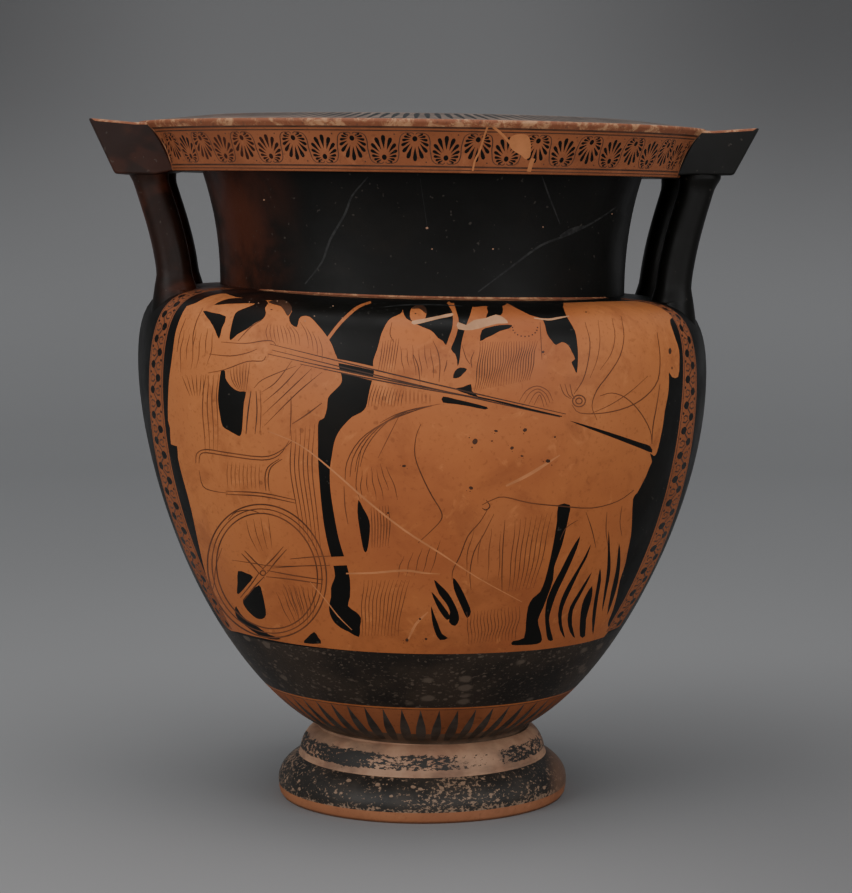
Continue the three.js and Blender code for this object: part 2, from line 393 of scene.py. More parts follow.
def brush(points, width, ends=(1.0, 1.0)):
    """The outline of a stroke, which can run thinner at its ends."""
    p = np.asarray(points, float)
    d = np.gradient(p, axis=0)
    d /= np.maximum(np.linalg.norm(d, axis=1), 1e-9)[:, None]
    normal = np.c_[-d[:, 1], d[:, 0]]
    t = np.linspace(0, 1, len(p))
    half = np.interp(t, [0, 0.35, 0.65, 1], [ends[0], 1, 1, ends[1]])[:, None] * width / 2
    return np.vstack([p + normal * half, (p - normal * half)[::-1]])


def draw(pixels, code, n=3):
    """Fill an outline given in pixels of the view."""
    paint(on_body(smooth(pixels, True, n)), code)


def line(pixels, width, code, ends=(0.5, 0.5), n=3):
    """Draw a line given in pixels of the view."""
    width *= LINE_WEIGHT.get(code, 1.0)
    paint(on_body(brush(smooth(pixels, False, n), width, ends)), code, 6.0)


def pleats(left, right, count, width, code, wave=0.0, skip=0.0):
    """Folds that run between two lines given in pixels of the view."""
    left, right = smooth(left, False, 4), smooth(right, False, 4)
    t = np.linspace(0, 1, 9)
    left = np.array([left[int(round(k * (len(left) - 1)))] for k in t])
    right = np.array([right[int(round(k * (len(right) - 1)))] for k in t])
    for i in range(count):
        share = i / max(1, count - 1)
        row = left * (1 - share) + right * share
        row[:, 0] += wave * np.sin(t * 9 + i * 0.35)
        first = 1 if skip and i % 2 else 0
        last = len(row) - (2 if skip and i % 3 == 1 else 0)
        line(row[first:last], width, code, (0.3, 0.3), 2)


def dot(x, y, rx, ry, code, pixels=True, n=7):
    """A small oval, in pixels of the view or on the unrolled pot."""
    a = np.arange(n) * 2 * math.pi / n
    ring = np.c_[x + rx * np.cos(a), y + ry * np.sin(a)]
    paint(on_body(ring) if pixels else ring, code)


def blot(x, y, rx, ry, code):
    """An uneven spot with two specks beside it, in pixels of the view."""
    a = np.arange(10) * 2 * math.pi / 10
    uneven = 0.85 + 0.10 * np.sin(2 * a + x) + 0.09 * np.cos(5 * a + y)
    paint(on_body(np.c_[x + rx * uneven * np.cos(a), y + ry * uneven * np.sin(a)]), code)
    dot(x + rx * 1.5 * math.sin(x), y + ry * 1.7, rx * 0.28, ry * 0.26, code, True, 5)
    dot(x - rx * 1.7, y + ry * 1.4 * math.cos(x), rx * 0.22, ry * 0.24, code, True, 5)


# The rim: palmettes, lines, and strokes on its top

PALMETTES = 60
RIM_TONGUES = 160
RIM_TURN = -2.1


def rim_at(height):
    """Path length on the rim's face at a height above its base."""
    return SECTION.at_height("rim", RIM_BASE + height)


def palmette(centre, foot, way):
    """A heart, a fan of petals on an oval and two small scrolls; way is 1 upright, -1 hanging."""
    petals, spread = 13, math.radians(20.5)
    oval_lift, oval_x, oval_y = 5.0, 9.1, 10.6

    def place(x, y):
        return np.c_[centre + np.asarray(x), foot + way * (4.6 + np.asarray(y))]

    for k in range(petals):
        a = (k - (petals - 1) / 2) * spread
        s, c = math.sin(a), math.cos(a)
        qa = (s / oval_x) ** 2 + (c / oval_y) ** 2
        qb = oval_lift * c / oval_y ** 2
        qc = (oval_lift / oval_y) ** 2 - 1
        reach = (qb + math.sqrt(qb * qb - qa * qc)) / qa
        half = 0.38 + 0.072 * reach
        along = np.array([0.36, 0.6, 0.82, 0.95, 1.0, 0.95, 0.82, 0.6]) * reach
        aside = np.array([0.10, 0.5, 0.95, 0.8, 0.0, -0.8, -0.95, -0.5]) * half
        paint(place(along * s + aside * c, along * c - aside * s), BLACK, 9)
    a = np.arange(10) * 2 * math.pi / 10
    paint(place(1.7 * np.sin(a), 0.1 + 1.9 * np.cos(a)), BLACK, 9)
    for side in (-1, 1):
        turn = np.linspace(0, 1.6 * math.pi, 9)
        size = 1.9 - 1.1 * turn / turn[-1]
        x = side * (2.6 - size * np.cos(turn))
        y = -3.0 - size * np.sin(turn) * 0.75
        paint(brush(place(x, y), 0.62), RIM_LINE, 9)


def tendril(centre, pitch, bottom, top, way):
    """The wavy line between an upright and a hanging palmette."""
    route = smooth([
        (1.6, 0.7), (5.2, 0.5), (8.6, 2.2), (10.0, 6.2), (10.0, 11.0), (10.7, 15.5),
        (11.6, 19.0), (14.0, 21.2), (pitch - 3.6, 21.6)], False, 3)
    scale = (top - bottom) / 22.0
    y = route[:, 1] * scale
    y = bottom + y if way > 0 else top - y
    paint(brush(np.c_[centre + route[:, 0], y], 0.75, (0.5, 0.5)), RIM_LINE, 9)


def paint_ring(low, high, code, left=-HALF, right=HALF, tilt=0.0):
    """A band round the pot, level or tilted down towards +X."""
    x = np.linspace(left, right, max(2, int((right - left) / 5.2)) + 1)
    drop = tilt * np.sin(x / SHEET_RADIUS)
    paint(np.vstack([np.c_[x, low - drop], np.c_[x, high - drop][::-1]]), code, 9)


def plate_joints():
    """Where the plates grow out of the rim: a dark spread and a pale rubbed line along it."""
    s = np.linspace(rim_at(0.0), rim_at(31.0), 14)
    joint = np.arccos(PLATE_WIDTH / 2 / SECTION.place(s)[0]) * SHEET_RADIUS
    spread = 7.0 * np.sin(np.linspace(0, math.pi, 14)) ** 0.8
    for edge, hidden in ((joint - spread, joint + 3), (HALF - joint + spread, HALF - joint - 3)):
        for side in (-1, 1):
            paint(np.vstack([np.c_[side * hidden, s], np.c_[side * edge, s][::-1]]), BLACK)
            paint(brush(np.c_[side * edge, s], 2.2), EDGE)


def decorate_rim():
    pitch = 2 * HALF / PALMETTES
    for low, high in ((1.3, 1.9), (3.2, 4.3), (25.5, 26.3), (27.4, 28.6)):
        paint_ring(rim_at(low), rim_at(high), RIM_LINE)
    bottom, top = rim_at(4.9), rim_at(25.0)
    for k in range(PALMETTES):
        centre = -HALF + (k + 0.5) * pitch + RIM_TURN
        way = -1 if k % 2 else 1
        palmette(centre, bottom if way > 0 else top, way)
        tendril(centre, pitch, bottom, top, way)
        dot(centre + pitch * 0.36, bottom + 1.6 if way < 0 else top - 1.6, 0.6, 0.6, RIM_LINE, False, 5)
    start = SECTION.start["top"]
    pitch = 2 * HALF / RIM_TONGUES
    for k in range(RIM_TONGUES):
        x = -HALF + (k + 0.5) * pitch
        outer, inner = start + 3.0 + 1.6 * math.sin(k * 7.3), start + 42 + 2.5 * math.sin(k * 3.1)
        wide, thin = pitch * 0.30, pitch * 0.09
        halves = [(thin, outer), (wide * 0.75, inner - 22), (wide, inner - 8), (wide * 0.6, inner)]
        right = [(x + half, along) for half, along in halves]
        left = [(x - half, along) for half, along in halves]
        paint(right + left[::-1], BLACK, 9)


# Rays over the foot, lower lines and the foot's bands

RAYS = 55
RAY_TIP = (422, 711)
RAY_BASE = (422, 741)
FIRST_RAY = (406, 733)
# Half width of a ray along its length, as shares
RAY_SHAPE = [(0.0, 0.62), (0.15, 0.84), (0.34, 1.0), (0.54, 0.84), (0.74, 0.48), (0.9, 0.19), (1.0, 0.03)]


def decorate_foot():
    tip, base = on_body([RAY_TIP, RAY_BASE])[:, 1]
    first = on_body([FIRST_RAY])[0, 0]
    tilt = 2.0
    paint_ring(base - 3.5, tip + 1.0, BORDER, tilt=tilt)
    paint_ring(tip + 1.6, tip + 3.4, CLAY, tilt=tilt)
    paint_ring(base - 3.5, base + (tip - base) * 0.30, WASH, tilt=tilt)
    pitch = 2 * HALF / RAYS
    for k in range(RAYS):
        x = (first + k * pitch + HALF) % (2 * HALF) - HALF
        length = tip - base + 0.6 + 0.8 * math.sin(k * 5.7)
        half = pitch * (0.33 + 0.03 * math.sin(k * 2.9))
        drop = tilt * math.sin(x / SHEET_RADIUS)
        left = [(x - half * w, base + length * t - drop) for t, w in RAY_SHAPE]
        right = [(x + half * w, base + length * t - drop) for t, w in RAY_SHAPE]
        paint(left + right[::-1], RAY, 5)


# The side borders of both pictures: ivy on a wavy stem

LEFT_BORDER_OUT = [
    (190, 291), (170, 303), (158, 319), (151.5, 336), (149, 355), (149, 380), (150, 400), (151.5, 420),
    (154, 440), (157, 460), (161, 480), (166, 500), (172, 520), (180, 540), (189, 560), (199, 580),
    (209, 600), (221, 620)]
LEFT_BORDER_IN = [
    (200, 293), (183, 305), (173, 319), (166, 336), (163.5, 355), (163, 380), (163, 400), (164.5, 420),
    (167, 440), (171, 460), (175, 480), (180, 500), (185.5, 520), (191.5, 540), (199.5, 560), (208, 580),
    (217, 600), (227, 620)]
RIGHT_BORDER_IN = [
    (668, 313), (675, 322), (680, 335), (683, 350), (684, 371), (681.5, 400), (679, 420), (676, 440),
    (673, 460), (669, 480), (664, 500), (658.5, 520), (651, 540), (643, 560), (633, 580), (623.5, 600),
    (613, 620)]
RIGHT_BORDER_OUT = [
    (678, 313), (684, 322), (690, 335), (694.5, 350), (697.5, 371), (697, 400), (695, 420), (692, 440),
    (688.5, 460), (684, 480), (679, 500), (674, 520), (666.5, 540), (657, 560), (647, 580), (636, 600),
    (624, 620)]


# A leaf and a curl: share of the band's half width, mm along it
LEAF = np.array([
    (0.04, 0.7), (0.12, -1.7), (0.32, -2.9), (0.55, -2.3), (0.70, -0.4), (0.62, 1.6), (0.42, 2.8),
    (0.20, 2.2)])
CURL = np.array([
    (-0.62, -2.6), (-0.30, -3.3), (-0.05, -1.6), (-0.12, 0.8), (-0.40, 1.8), (-0.60, 0.6), (-0.45, -0.7)])


def edge_of(pixels):
    """A smooth edge on the unrolled pot through pixels of the view."""
    places = on_body(pixels)
    places = places[np.argsort(places[:, 1])]
    along = (places[:, 1] - places[0, 1]) / (places[-1, 1] - places[0, 1])
    places[:, 0] = np.polyval(np.polyfit(along, places[:, 0], 4), along)
    return places


def ivy_border(left, right, low, high):
    """A clay band between two edges on the unrolled pot, with leaves and berries on a wavy stem."""
    def at(across, along):
        a = np.interp(along, left[:, 1], left[:, 0])
        b = np.interp(along, right[:, 1], right[:, 0])
        return np.c_[(a + b) / 2 + across * (b - a) / 2, along]

    s = np.linspace(low, high, 60)
    paint(np.vstack([at(-1, s), at(1, s)[::-1]]), BORDER, 9)
    for side in (-1, 1):
        paint(brush(at(side * 0.84, s), 1.0), RIM_LINE, 9)
    step = 8.8
    count = int((high - low) / step)
    stem = np.linspace(low + 1, high - 1, count * 5)
    paint(brush(at(0.30 * np.sin((stem - low) * math.pi / step), stem), 1.3), RIM_LINE, 9)
    for k in range(count):
        side = 1 if k % 2 else -1
        middle = low + (k + 0.5) * step
        paint(at(-side * LEAF[:, 0], middle + LEAF[:, 1]), BLACK, 9)
        paint(brush(at(-side * CURL[:, 0], middle + CURL[:, 1]), 1.15), RIM_LINE, 9)
        spot = at(side * 0.66, np.array([middle + 3.4]))[0]
        dot(spot[0], spot[1], 1.5, 1.0, BLACK, False, 6)


# The picture on the front, in pixels of the view: a team and chariot among draped figures

PICTURE_FOOT = (422, 653)
FIELD = [
    (196, 303), (205, 298), (216, 294.5), (226, 293.5), (236, 297), (262, 300), (300, 301), (360, 302),
    (430, 303), (500, 303), (556, 303), (600, 301.5), (640, 301), (658, 304), (670, 312), (680, 330),
    (686, 360), (685, 400), (680, 440), (672, 480), (661, 520), (646, 560), (630, 592), (612, 620),
    (604, 637), (560, 647), (520, 651.3), (480, 653.4), (440, 654.1), (400, 653.4), (360, 651.3),
    (325, 648), (290, 643.4), (262, 638), (238, 632), (225, 626), (204, 590), (184, 545), (168, 500),
    (158, 455), (153, 400), (154, 355), (162, 320)]

LEFT_BACKGROUND = [
    (196, 296), (190, 302), (183, 312), (178, 324), (175, 335), (173, 350), (171, 365), (169, 380),
    (168, 400), (168, 420), (170, 428), (171, 444), (177, 446), (178, 458), (182, 475), (187, 493),
    (192, 513), (196, 532), (201, 555), (206, 575), (212, 592), (216, 602), (206, 600), (192, 575),
    (176, 540), (163, 505), (154, 470), (150, 430), (149, 380), (152, 345), (160, 320), (176, 298)]

RIGHT_BACKGROUND = [
    (670, 320), (672, 328), (676, 340), (679, 350), (679.5, 364), (678, 377), (672, 377), (669, 372),
    (669, 382), (668, 395), (665, 410), (663, 425), (660, 440), (657, 452), (654, 456), (650, 453),
    (652, 461), (650, 466), (646, 476), (641, 486), (637, 493), (633, 499), (632, 520), (631, 535),
    (628, 550), (625, 565), (620, 580), (617, 595), (613, 610), (609, 620), (608, 626), (612, 628),
    (622, 612), (632, 592), (648, 560), (661, 525), (670, 490), (679, 455), (686, 420), (690, 385),
    (690, 350), (683, 325), (676, 316)]

BEHIND_DISH = [
    (214, 305), (224, 300), (236, 298), (262, 299), (268, 303), (265, 308), (266, 313), (263, 319),
    (255, 323), (247, 329), (238, 334), (231, 340), (229.5, 337), (231, 328), (234, 316), (238, 311),
    (248, 307), (255, 303.5), (240, 303.5), (226, 304)]
BESIDE_ARM = [(203, 311), (212, 312.5), (226, 316.5), (222, 328), (219, 339), (215, 330), (210, 321)]
UNDER_ARMS = [
    (221, 371), (225, 371), (225.5, 378), (229, 384), (234, 389), (240, 391.5), (246, 392), (244, 402),
    (243, 416), (242, 430), (240, 436), (235, 434), (228, 430), (222.5, 426), (220, 415), (218, 400),
    (219, 385)]
MIDDLE_BACKGROUND = [
    (284, 299), (300, 298), (340, 298), (372, 299), (402, 300), (403, 309), (400, 314), (393, 317),
    (388, 321), (384, 328), (381, 335), (379, 343), (377, 350), (374, 358), (373, 364), (374, 372),
    (372, 381), (370, 388), (368, 398), (366, 407), (361, 412.5), (352, 417), (344, 425), (338, 433),
    (334, 443), (332, 455), (330, 468), (330, 485), (332, 502), (335, 520), (339, 540), (344, 556),
    (347, 566), (350, 580), (350, 597), (348, 606), (356, 612), (361, 618), (360, 627), (359, 637),
    (349, 632), (341, 628), (334, 622), (330, 614), (329, 606), (331, 597), (331, 588), (333, 582),
    (335, 576), (333.5, 566), (331, 556), (328, 545), (324, 525), (321, 500), (319, 475), (318, 458),
    (318, 440), (318, 425), (320, 420), (324, 418), (327, 408), (328, 398), (333, 392), (340, 385),
    (342, 380), (341, 374), (339, 367), (338, 360), (335, 353), (332, 345), (328, 338), (323, 331),
    (317, 324), (310, 317), (303, 316), (299, 319), (297, 327), (291, 324), (289, 317), (292, 311),
    (289, 306)]
BEFORE_SECOND_HEAD = [
    (404, 300), (420, 300), (436, 300), (449, 300), (452, 311), (453, 320), (452, 329), (449, 337),
    (446, 345), (443, 341), (438, 338), (434, 333), (430, 330), (425, 328), (418, 325), (411, 321),
    (406, 318), (403, 311)]
BETWEEN_HANDS = [
    (454, 300), (464, 300), (473, 300), (471, 312), (469, 318), (466, 326), (463, 336), (461, 346),
    (460, 356), (459, 363), (457.5, 366), (457, 360), (455, 354), (451, 349), (454, 339), (458, 328),
    (458, 318), (456, 310)]
UNDER_HAND = [(455, 371), (460, 367.5), (467, 369), (463, 374), (459, 377.5), (453, 378)]
OVER_HAND = [(470, 300), (506, 300), (505, 305), (497, 307), (483, 306), (473, 307)]
OVER_ARM = [
    (487, 307), (494, 304), (501, 304), (503, 310), (501, 315), (494, 315.5), (486, 318), (488, 312)]
OVER_BREAST = [
    (482, 330), (490, 327), (500, 325), (512, 325), (509, 328.5), (500, 331), (493, 335), (486, 338),
    (480, 341)]
RIGHT_OF_HEAD = [
    (504, 300), (530, 300), (560, 300), (563, 307), (566, 315), (570, 322), (575, 331), (577, 341),
    (578, 355), (577, 373), (574, 368), (571.5, 362), (575, 359), (572, 352), (568, 345), (562, 342),
    (556, 345), (552, 341), (547, 334), (545, 325), (542, 319), (537, 317), (530, 315), (522, 311),
    (514, 307)]
REIN_SHADOW = [
    (443, 396.5), (455, 399), (470, 402.5), (487, 407), (485, 409.5), (470, 406.5), (455, 404),
    (443, 402.5)]
REIN_GAP = [(455, 388.5), (463, 387), (471, 384), (472, 391), (478, 396.5), (466, 393.5), (459, 391)]
POLE_WEDGE = [
    (570, 421), (582, 424), (610, 432.5), (640, 442.5), (650, 446), (652, 452.5), (641, 448.5),
    (614, 438), (590, 429)]
TAIL_GAP = [
    (358.5, 500), (363, 508), (368, 517), (370, 526), (369, 540), (367, 551), (364, 551), (361.5, 540),
    (359, 525), (357.5, 512)]
WHEEL_GAPS = [
    [(238, 571), (246, 573), (253, 577), (247, 585), (240, 593), (237, 593), (237.5, 583)],
    [
        (259, 585), (262, 592), (264.5, 603), (266, 615), (262, 619), (256, 618), (250, 613), (245, 607),
        (243, 600), (250, 592)],
    [
        (236, 606), (240, 613), (248, 621), (258, 627), (268, 634), (281, 639), (270, 639), (258, 634.5),
        (247, 627), (238, 619), (235, 612)],
    [(314, 632), (318, 637), (321, 643.5), (304, 643), (307, 638)]]
HIND_LEG_GAPS = [
    [
        (434, 580), (440, 585), (448, 593), (454, 603), (458, 612), (459, 620), (455, 626), (449, 622),
        (450, 612), (446, 603), (439, 594)],
    [(431.5, 592), (438, 599), (444, 607), (450, 616), (447, 620), (441, 613), (436, 604)],
    [(431, 606), (434, 614), (438, 624), (442, 634), (448, 638), (440, 640), (435, 632), (432, 620)],
    [
        (453, 578), (458, 583), (463, 592), (468, 603), (471, 612), (467, 618), (462, 608), (458, 599),
        (454, 589)]]
FORELEG_GAPS = [
    [
        (558.5, 505), (570, 505), (569, 515), (566, 529), (562, 545), (557, 559), (554, 568), (553, 580),
        (548, 595), (543, 608), (538, 620), (540, 630), (542, 640), (537, 644), (524, 645), (512, 645),
        (513, 641), (524, 638), (526, 622), (528, 607), (533, 598), (540, 592), (545, 580), (550, 560),
        (554, 540), (557, 521)],
    [
        (580, 536), (577, 548), (570, 565), (563, 580), (556, 595), (551, 610), (549, 620), (551, 632),
        (553, 640), (548, 640), (546, 630), (545, 615), (547, 600), (553, 585), (561, 570), (570, 552)],
    [
        (591, 544), (587, 557), (580, 570), (573, 585), (566, 600), (562, 612), (562, 625), (565, 638),
        (560, 630), (558, 615), (561, 600), (568, 585), (577, 570), (585, 556)],
    [
        (592, 572), (586, 585), (579, 598), (573, 610), (572, 625), (575, 638), (570, 632), (567.5, 620),
        (570, 607), (577, 595), (585, 582)],
    [
        (592, 586), (592, 596), (589, 608), (586, 620), (585, 636), (580, 636), (580, 620), (582, 605),
        (586, 595)],
    [(600, 568), (601, 580), (598.5, 595), (596, 612), (593, 635), (592, 620), (594, 602), (597, 585)],
    [(608.5, 530), (610, 550), (610.5, 570), (607, 590), (602, 612), (604, 592), (607, 570)],
    [(619, 543), (620.5, 560), (618, 582), (613, 600), (607, 615), (611, 592), (616, 570)]]


def front_masses():
    """The clay field of the picture and the black ground between its figures."""
    draw(FIELD, CLAY, 2)
    ground = [
        LEFT_BACKGROUND, RIGHT_BACKGROUND, BEHIND_DISH, BESIDE_ARM, UNDER_ARMS, MIDDLE_BACKGROUND,
        BEFORE_SECOND_HEAD, BETWEEN_HANDS, UNDER_HAND, OVER_HAND, OVER_ARM, OVER_BREAST, RIGHT_OF_HEAD,
        REIN_SHADOW, REIN_GAP, POLE_WEDGE, TAIL_GAP]
    for outline in ground + WHEEL_GAPS + HIND_LEG_GAPS + FORELEG_GAPS:
        draw(outline, BLACK, 2)


POLE = [(326, 557), (352, 556), (352, 565), (328, 566)]
FIRST_BOW = [(371, 302), (358, 307), (345, 318), (336, 328), (327, 340)]
SECOND_BOW = [(448, 302), (454, 311), (456.5, 322), (454, 335), (449, 348), (446, 360)]
FACE_OF_SECOND = [
    (411, 320), (410, 312), (413, 307), (420, 306), (425, 308), (426.5, 312), (426, 316), (424, 320),
    (419, 323)]
UPPER_REINS = [(336, 360.5), (356, 364.5), (376, 369)]
LOWER_REINS = [(338, 371), (356, 375), (374, 379.5)]


def front_additions():
    """What crosses the dark ground in clay: the pole, bows, reins, and the second woman's face."""
    draw(POLE, CLAY, 1)
    line(FIRST_BOW, 3.2, CLAY, (0.7, 1))
    line(SECOND_BOW, 4.4, CLAY, (0.7, 0.7))
    draw(FACE_OF_SECOND, CLAY, 2)
    line(UPPER_REINS, 3.8, CLAY, (1, 1))
    line(LOWER_REINS, 3.0, CLAY, (1, 1))


# Lines of the picture: (width, paint, pixels)
# Folds: (count, width, wave, whether some stop short, left edge, right edge)

DRIVER_LINES = [
    (0.8, DILUTE, [(221, 342), (245, 343.5), (262, 341), (272, 341), (276, 345)]),
    (0.8, DILUTE, [(209, 354), (230, 356), (247, 353), (257, 349)]),
    (0.8, DILUTE, [(208, 373), (225, 369.5), (247, 361.5), (262, 361), (266, 356)]),
    (0.7, DILUTE, [(203, 308), (197, 320), (193, 336), (193, 352)])]
DRIVER_FOLDS = [
    (6, 0.6, 0.0, 0, [(182, 376), (186, 386), (190, 396)], [(206, 374), (204, 386), (202, 396)]),
    (4, 0.7, 0.5, 0, [(203, 376), (203, 410), (205, 452)], [(218, 374), (217, 400), (218, 450)]),
    (6, 0.55, 0.6, 1, [(184, 330), (181, 350), (180, 372)], [(213, 328), (212, 345), (207, 366)])]
FIRST_WOMAN_LINES = [
    (1.0, DILUTE, [(292, 424), (306, 415), (322, 403)]),
    (0.8, DILUTE, [(262, 320), (252, 326), (244, 334), (238, 341)]),
    (0.8, DILUTE, [(291, 396), (291, 414), (290, 436)]),
    (0.6, DILUTE, [(186, 318), (180, 334), (177, 352)]),
    (0.7, DILUTE, [(254, 388), (262, 380), (280, 372), (296, 366)]),
    (1.1, SPOT, [(251, 391), (248, 412), (246, 434)]),
    (0.9, SPOT, [(256, 391), (257, 412), (255, 434)]),
    (0.6, DILUTE, [(260, 390), (261, 410), (260, 432)])]
FIRST_WOMAN_FOLDS = [
    (7, 0.55, 0.0, 0, [(230, 368), (232, 380), (238, 390)], [(250, 362), (248, 376), (246, 392)]),
    (9, 0.55, 0.0, 0, [(268, 324), (266, 332), (268, 341)], [(292, 326), (298, 334), (300, 346)]),
    (4, 0.8, 0.0, 0, [(262, 392), (276, 382), (292, 361)], [(264, 426), (296, 394), (322, 372)]),
    (6, 0.75, 0.6, 0, [(291, 430), (291, 470), (300, 532)], [(314, 424), (313, 480), (322, 556)]),
    (4, 0.6, 0.0, 0, [(300, 322), (306, 332), (309, 346)], [(318, 336), (322, 348), (322, 362)])]
SECOND_WOMAN_LINES = [
    (0.6, DILUTE, [(392, 322), (390, 334), (394, 342)]),
    (0.8, DILUTE, [(433, 341), (438, 352), (440, 366), (439, 382)]),
    (0.8, DILUTE, [(413, 354), (418, 366), (420, 382)]),
    (0.8, DILUTE, [(447, 360), (446, 366), (444, 372)])]
SECOND_WOMAN_FOLDS = [
    (6, 0.55, 0.5, 1, [(400, 346), (402, 360), (404, 374)], [(430, 344), (432, 360), (434, 378)]),
    (7, 0.5, 0.0, 0, [(406, 388), (406, 396), (406, 404)], [(430, 394), (430, 399), (430, 404)]),
    (7, 0.6, 0.0, 0, [(383, 341), (381, 356), (378, 372)], [(399, 338), (397, 352), (394, 372)]),
    (11, 0.6, 0.0, 0, [(374, 384), (370, 396), (368, 407)], [(404, 390), (402, 398), (401, 406)])]
THIRD_WOMAN_LINES = [
    (0.8, DILUTE, [(474, 352), (471, 360), (472, 368)]),
    (0.6, DILUTE, [(462, 345), (466, 358), (470, 364)]),
    (0.7, DILUTE, [(540, 322), (541, 340), (542, 360)])]
THIRD_WOMAN_FOLDS = [
    (24, 0.75, 0.7, 0, [(480, 342), (478, 366), (474, 391)], [(537, 341), (534, 358), (530, 380)])]
CHARIOT_LINES = [
    (0.7, DILUTE, [(199, 470), (203, 486), (214, 491), (228, 493)]),
    (0.8, DILUTE, [(272, 568), (300, 566), (330, 565.5)]),
    (0.8, DILUTE, [(290, 559), (312, 557), (331, 556)]),
    (0.6, DILUTE, [(210, 600), (214, 584), (216, 566), (222, 548)]),
    (0.8, DILUTE, [(228, 520), (236, 512), (250, 510), (262, 514)]),
    (0.6, DILUTE, [(232, 560), (252, 563), (272, 566), (300, 566)])]
CHARIOT_FOLDS = [
    (9, 0.45, 0.0, 0, [(228, 461), (227, 474), (228, 488)], [(260, 464), (259, 476), (260, 490)]),
    (7, 0.55, 0.5, 0, [(283, 584), (290, 600), (296, 616)], [(312, 588), (314, 602), (313, 618)]),
    (4, 0.5, 0.0, 0, [(246, 520), (250, 536), (258, 552)], [(268, 516), (270, 532), (272, 548)]),
    (5, 0.5, 0.4, 0, [(276, 592), (284, 610), (292, 626)], [(300, 584), (306, 602), (308, 624)])]
TEAM_LINES = [
    (0.6, DILUTE, [(362, 446), (358, 466), (356, 486), (360, 500)]),
    (0.6, DILUTE, [(400, 414), (392, 430), (384, 446), (378, 458)]),
    (0.9, SPOT, [(486, 500), (490, 506), (486, 510), (482, 508)]),
    (0.6, DILUTE, [(560, 540), (566, 528), (578, 520)]),
    (0.6, DILUTE, [(622, 506), (620, 522), (622, 536)]),
    (0.6, DILUTE, [(612, 318), (615, 336), (611, 354), (600, 370)]),
    (0.5, DILUTE, [(598, 320), (600, 340), (597, 360), (590, 378)]),
    (0.6, DILUTE, [(590, 414), (610, 405), (630, 392), (648, 376)]),
    (0.9, DILUTE, [
        (421, 424), (416, 437), (415, 456), (422, 476), (432, 496), (441, 511), (441, 520), (431, 531),
        (418, 543)]),
    (0.8, DILUTE, [(344, 486), (345, 506), (348, 524)]),
    (0.8, DILUTE, [(440, 404), (414, 409), (395, 415), (380, 423)]),
    (0.9, DILUTE, [
        (482, 505), (492, 500), (504, 497), (530, 503), (560, 506), (592, 508), (618, 501), (634, 490)]),
    (0.8, DILUTE, [(489, 507), (480, 522), (468, 536), (460, 556), (453, 570), (452, 580)]),
    (0.8, DILUTE, [(494, 514), (484, 534), (474, 552), (470, 572), (471, 590)]),
    (0.8, DILUTE, [(505, 520), (503, 545), (502, 570), (502, 592)]),
    (0.7, DILUTE, [(586, 512), (592, 530), (596, 548)]),
    (0.7, DILUTE, [(607, 512), (606, 530), (608, 546)]),
    (0.8, DILUTE, [(585, 322), (590, 342), (588, 362), (583, 380), (574, 394)]),
    (0.8, DILUTE, [(621, 316), (624, 336), (620, 356), (609, 374), (597, 390), (592, 406), (597, 420)]),
    (0.9, DILUTE, [
        (657, 332), (660, 356), (658, 380), (646, 396), (628, 407), (604, 413), (580, 413), (572, 405)]),
    (0.8, DILUTE, [(600, 396), (612, 393), (626, 398), (640, 412), (650, 430), (652, 444)]),
    (0.8, DILUTE, [(660, 384), (657, 404), (653, 426), (652, 444)])]
TEAM_FOLDS = [
    (5, 0.55, 0.4, 0, [(404, 556), (400, 566), (398, 578)], [(440, 540), (436, 556), (430, 574)]),
    (4, 0.55, 0.5, 1, [(474, 530), (468, 552), (466, 576)], [(500, 528), (500, 552), (498, 580)]),
    (6, 0.6, 0.5, 1, [(362, 470), (361, 486), (362, 500)], [(384, 462), (392, 480), (398, 500)]),
    (7, 0.65, 0.0, 0, [(371, 508), (372, 526), (372, 548)], [(388, 505), (390, 524), (388, 546)]),
    (12, 0.6, 0.5, 0, [(364, 580), (362, 605), (362, 636)], [(410, 580), (402, 606), (398, 636)]),
    (8, 0.6, 0.6, 0, [(515, 520), (512, 556), (508, 592)], [(552, 512), (544, 550), (534, 588)]),
    (16, 0.5, 0.8, 0, [(466, 612), (468, 626), (468, 644)], [(520, 606), (518, 624), (514, 640)])]

REIN_ENDS = [
    ((270, 344), (566, 414)), ((272, 350), (560, 417)), ((268, 354), (500, 402)), ((300, 364), (470, 397))]
REIN_BEND = 1.2
REIN_SHADE = [(468, 394.5), (500, 402), (535, 410.5), (562, 416.5)]

HAIR_OF_FIRST = [
    (268, 302), (275, 300), (284, 300), (290, 304), (292, 310), (288, 316), (285, 312), (281, 306.5),
    (274, 304.5)]
HAIR_BAND = [(270, 305), (277, 306), (284, 311)]
EYE_OF_FIRST = (271.5, 309.5)
HAIR_OF_SECOND = [(412, 309), (415, 305.5), (421, 304.5), (426, 308), (427, 314), (424, 312), (419, 308.5)]
EYE_OF_SECOND = (415.5, 313.5)
NECKLACE_CENTRE = (525, 327.5)
NECKLACE_REACH = (12.5, 9.0)
BEADS = 11

# Each of these lines is drawn again, moved outwards, for the thickness of the frame
RAIL = [(199, 463), (200, 455), (206, 452.5), (226, 455.5), (262, 460), (279, 455), (289, 441)]
RAIL_OUTWARD = [(-1, 0), (-1, -0.5), (0, -1), (0, -1), (0, -1), (0, -1), (1, 0)]
SILL = [(226, 491), (262, 493), (296, 500)]
SILL_OUTWARD = [(0, 1), (0, 1), (0, 1)]
POST = [(266, 491), (265, 478), (268, 467), (279, 459)]
POST_OUTWARD = [(1, 0), (1, 0), (1, 0), (1, 0)]
FRAME_THICKNESS = 3.2

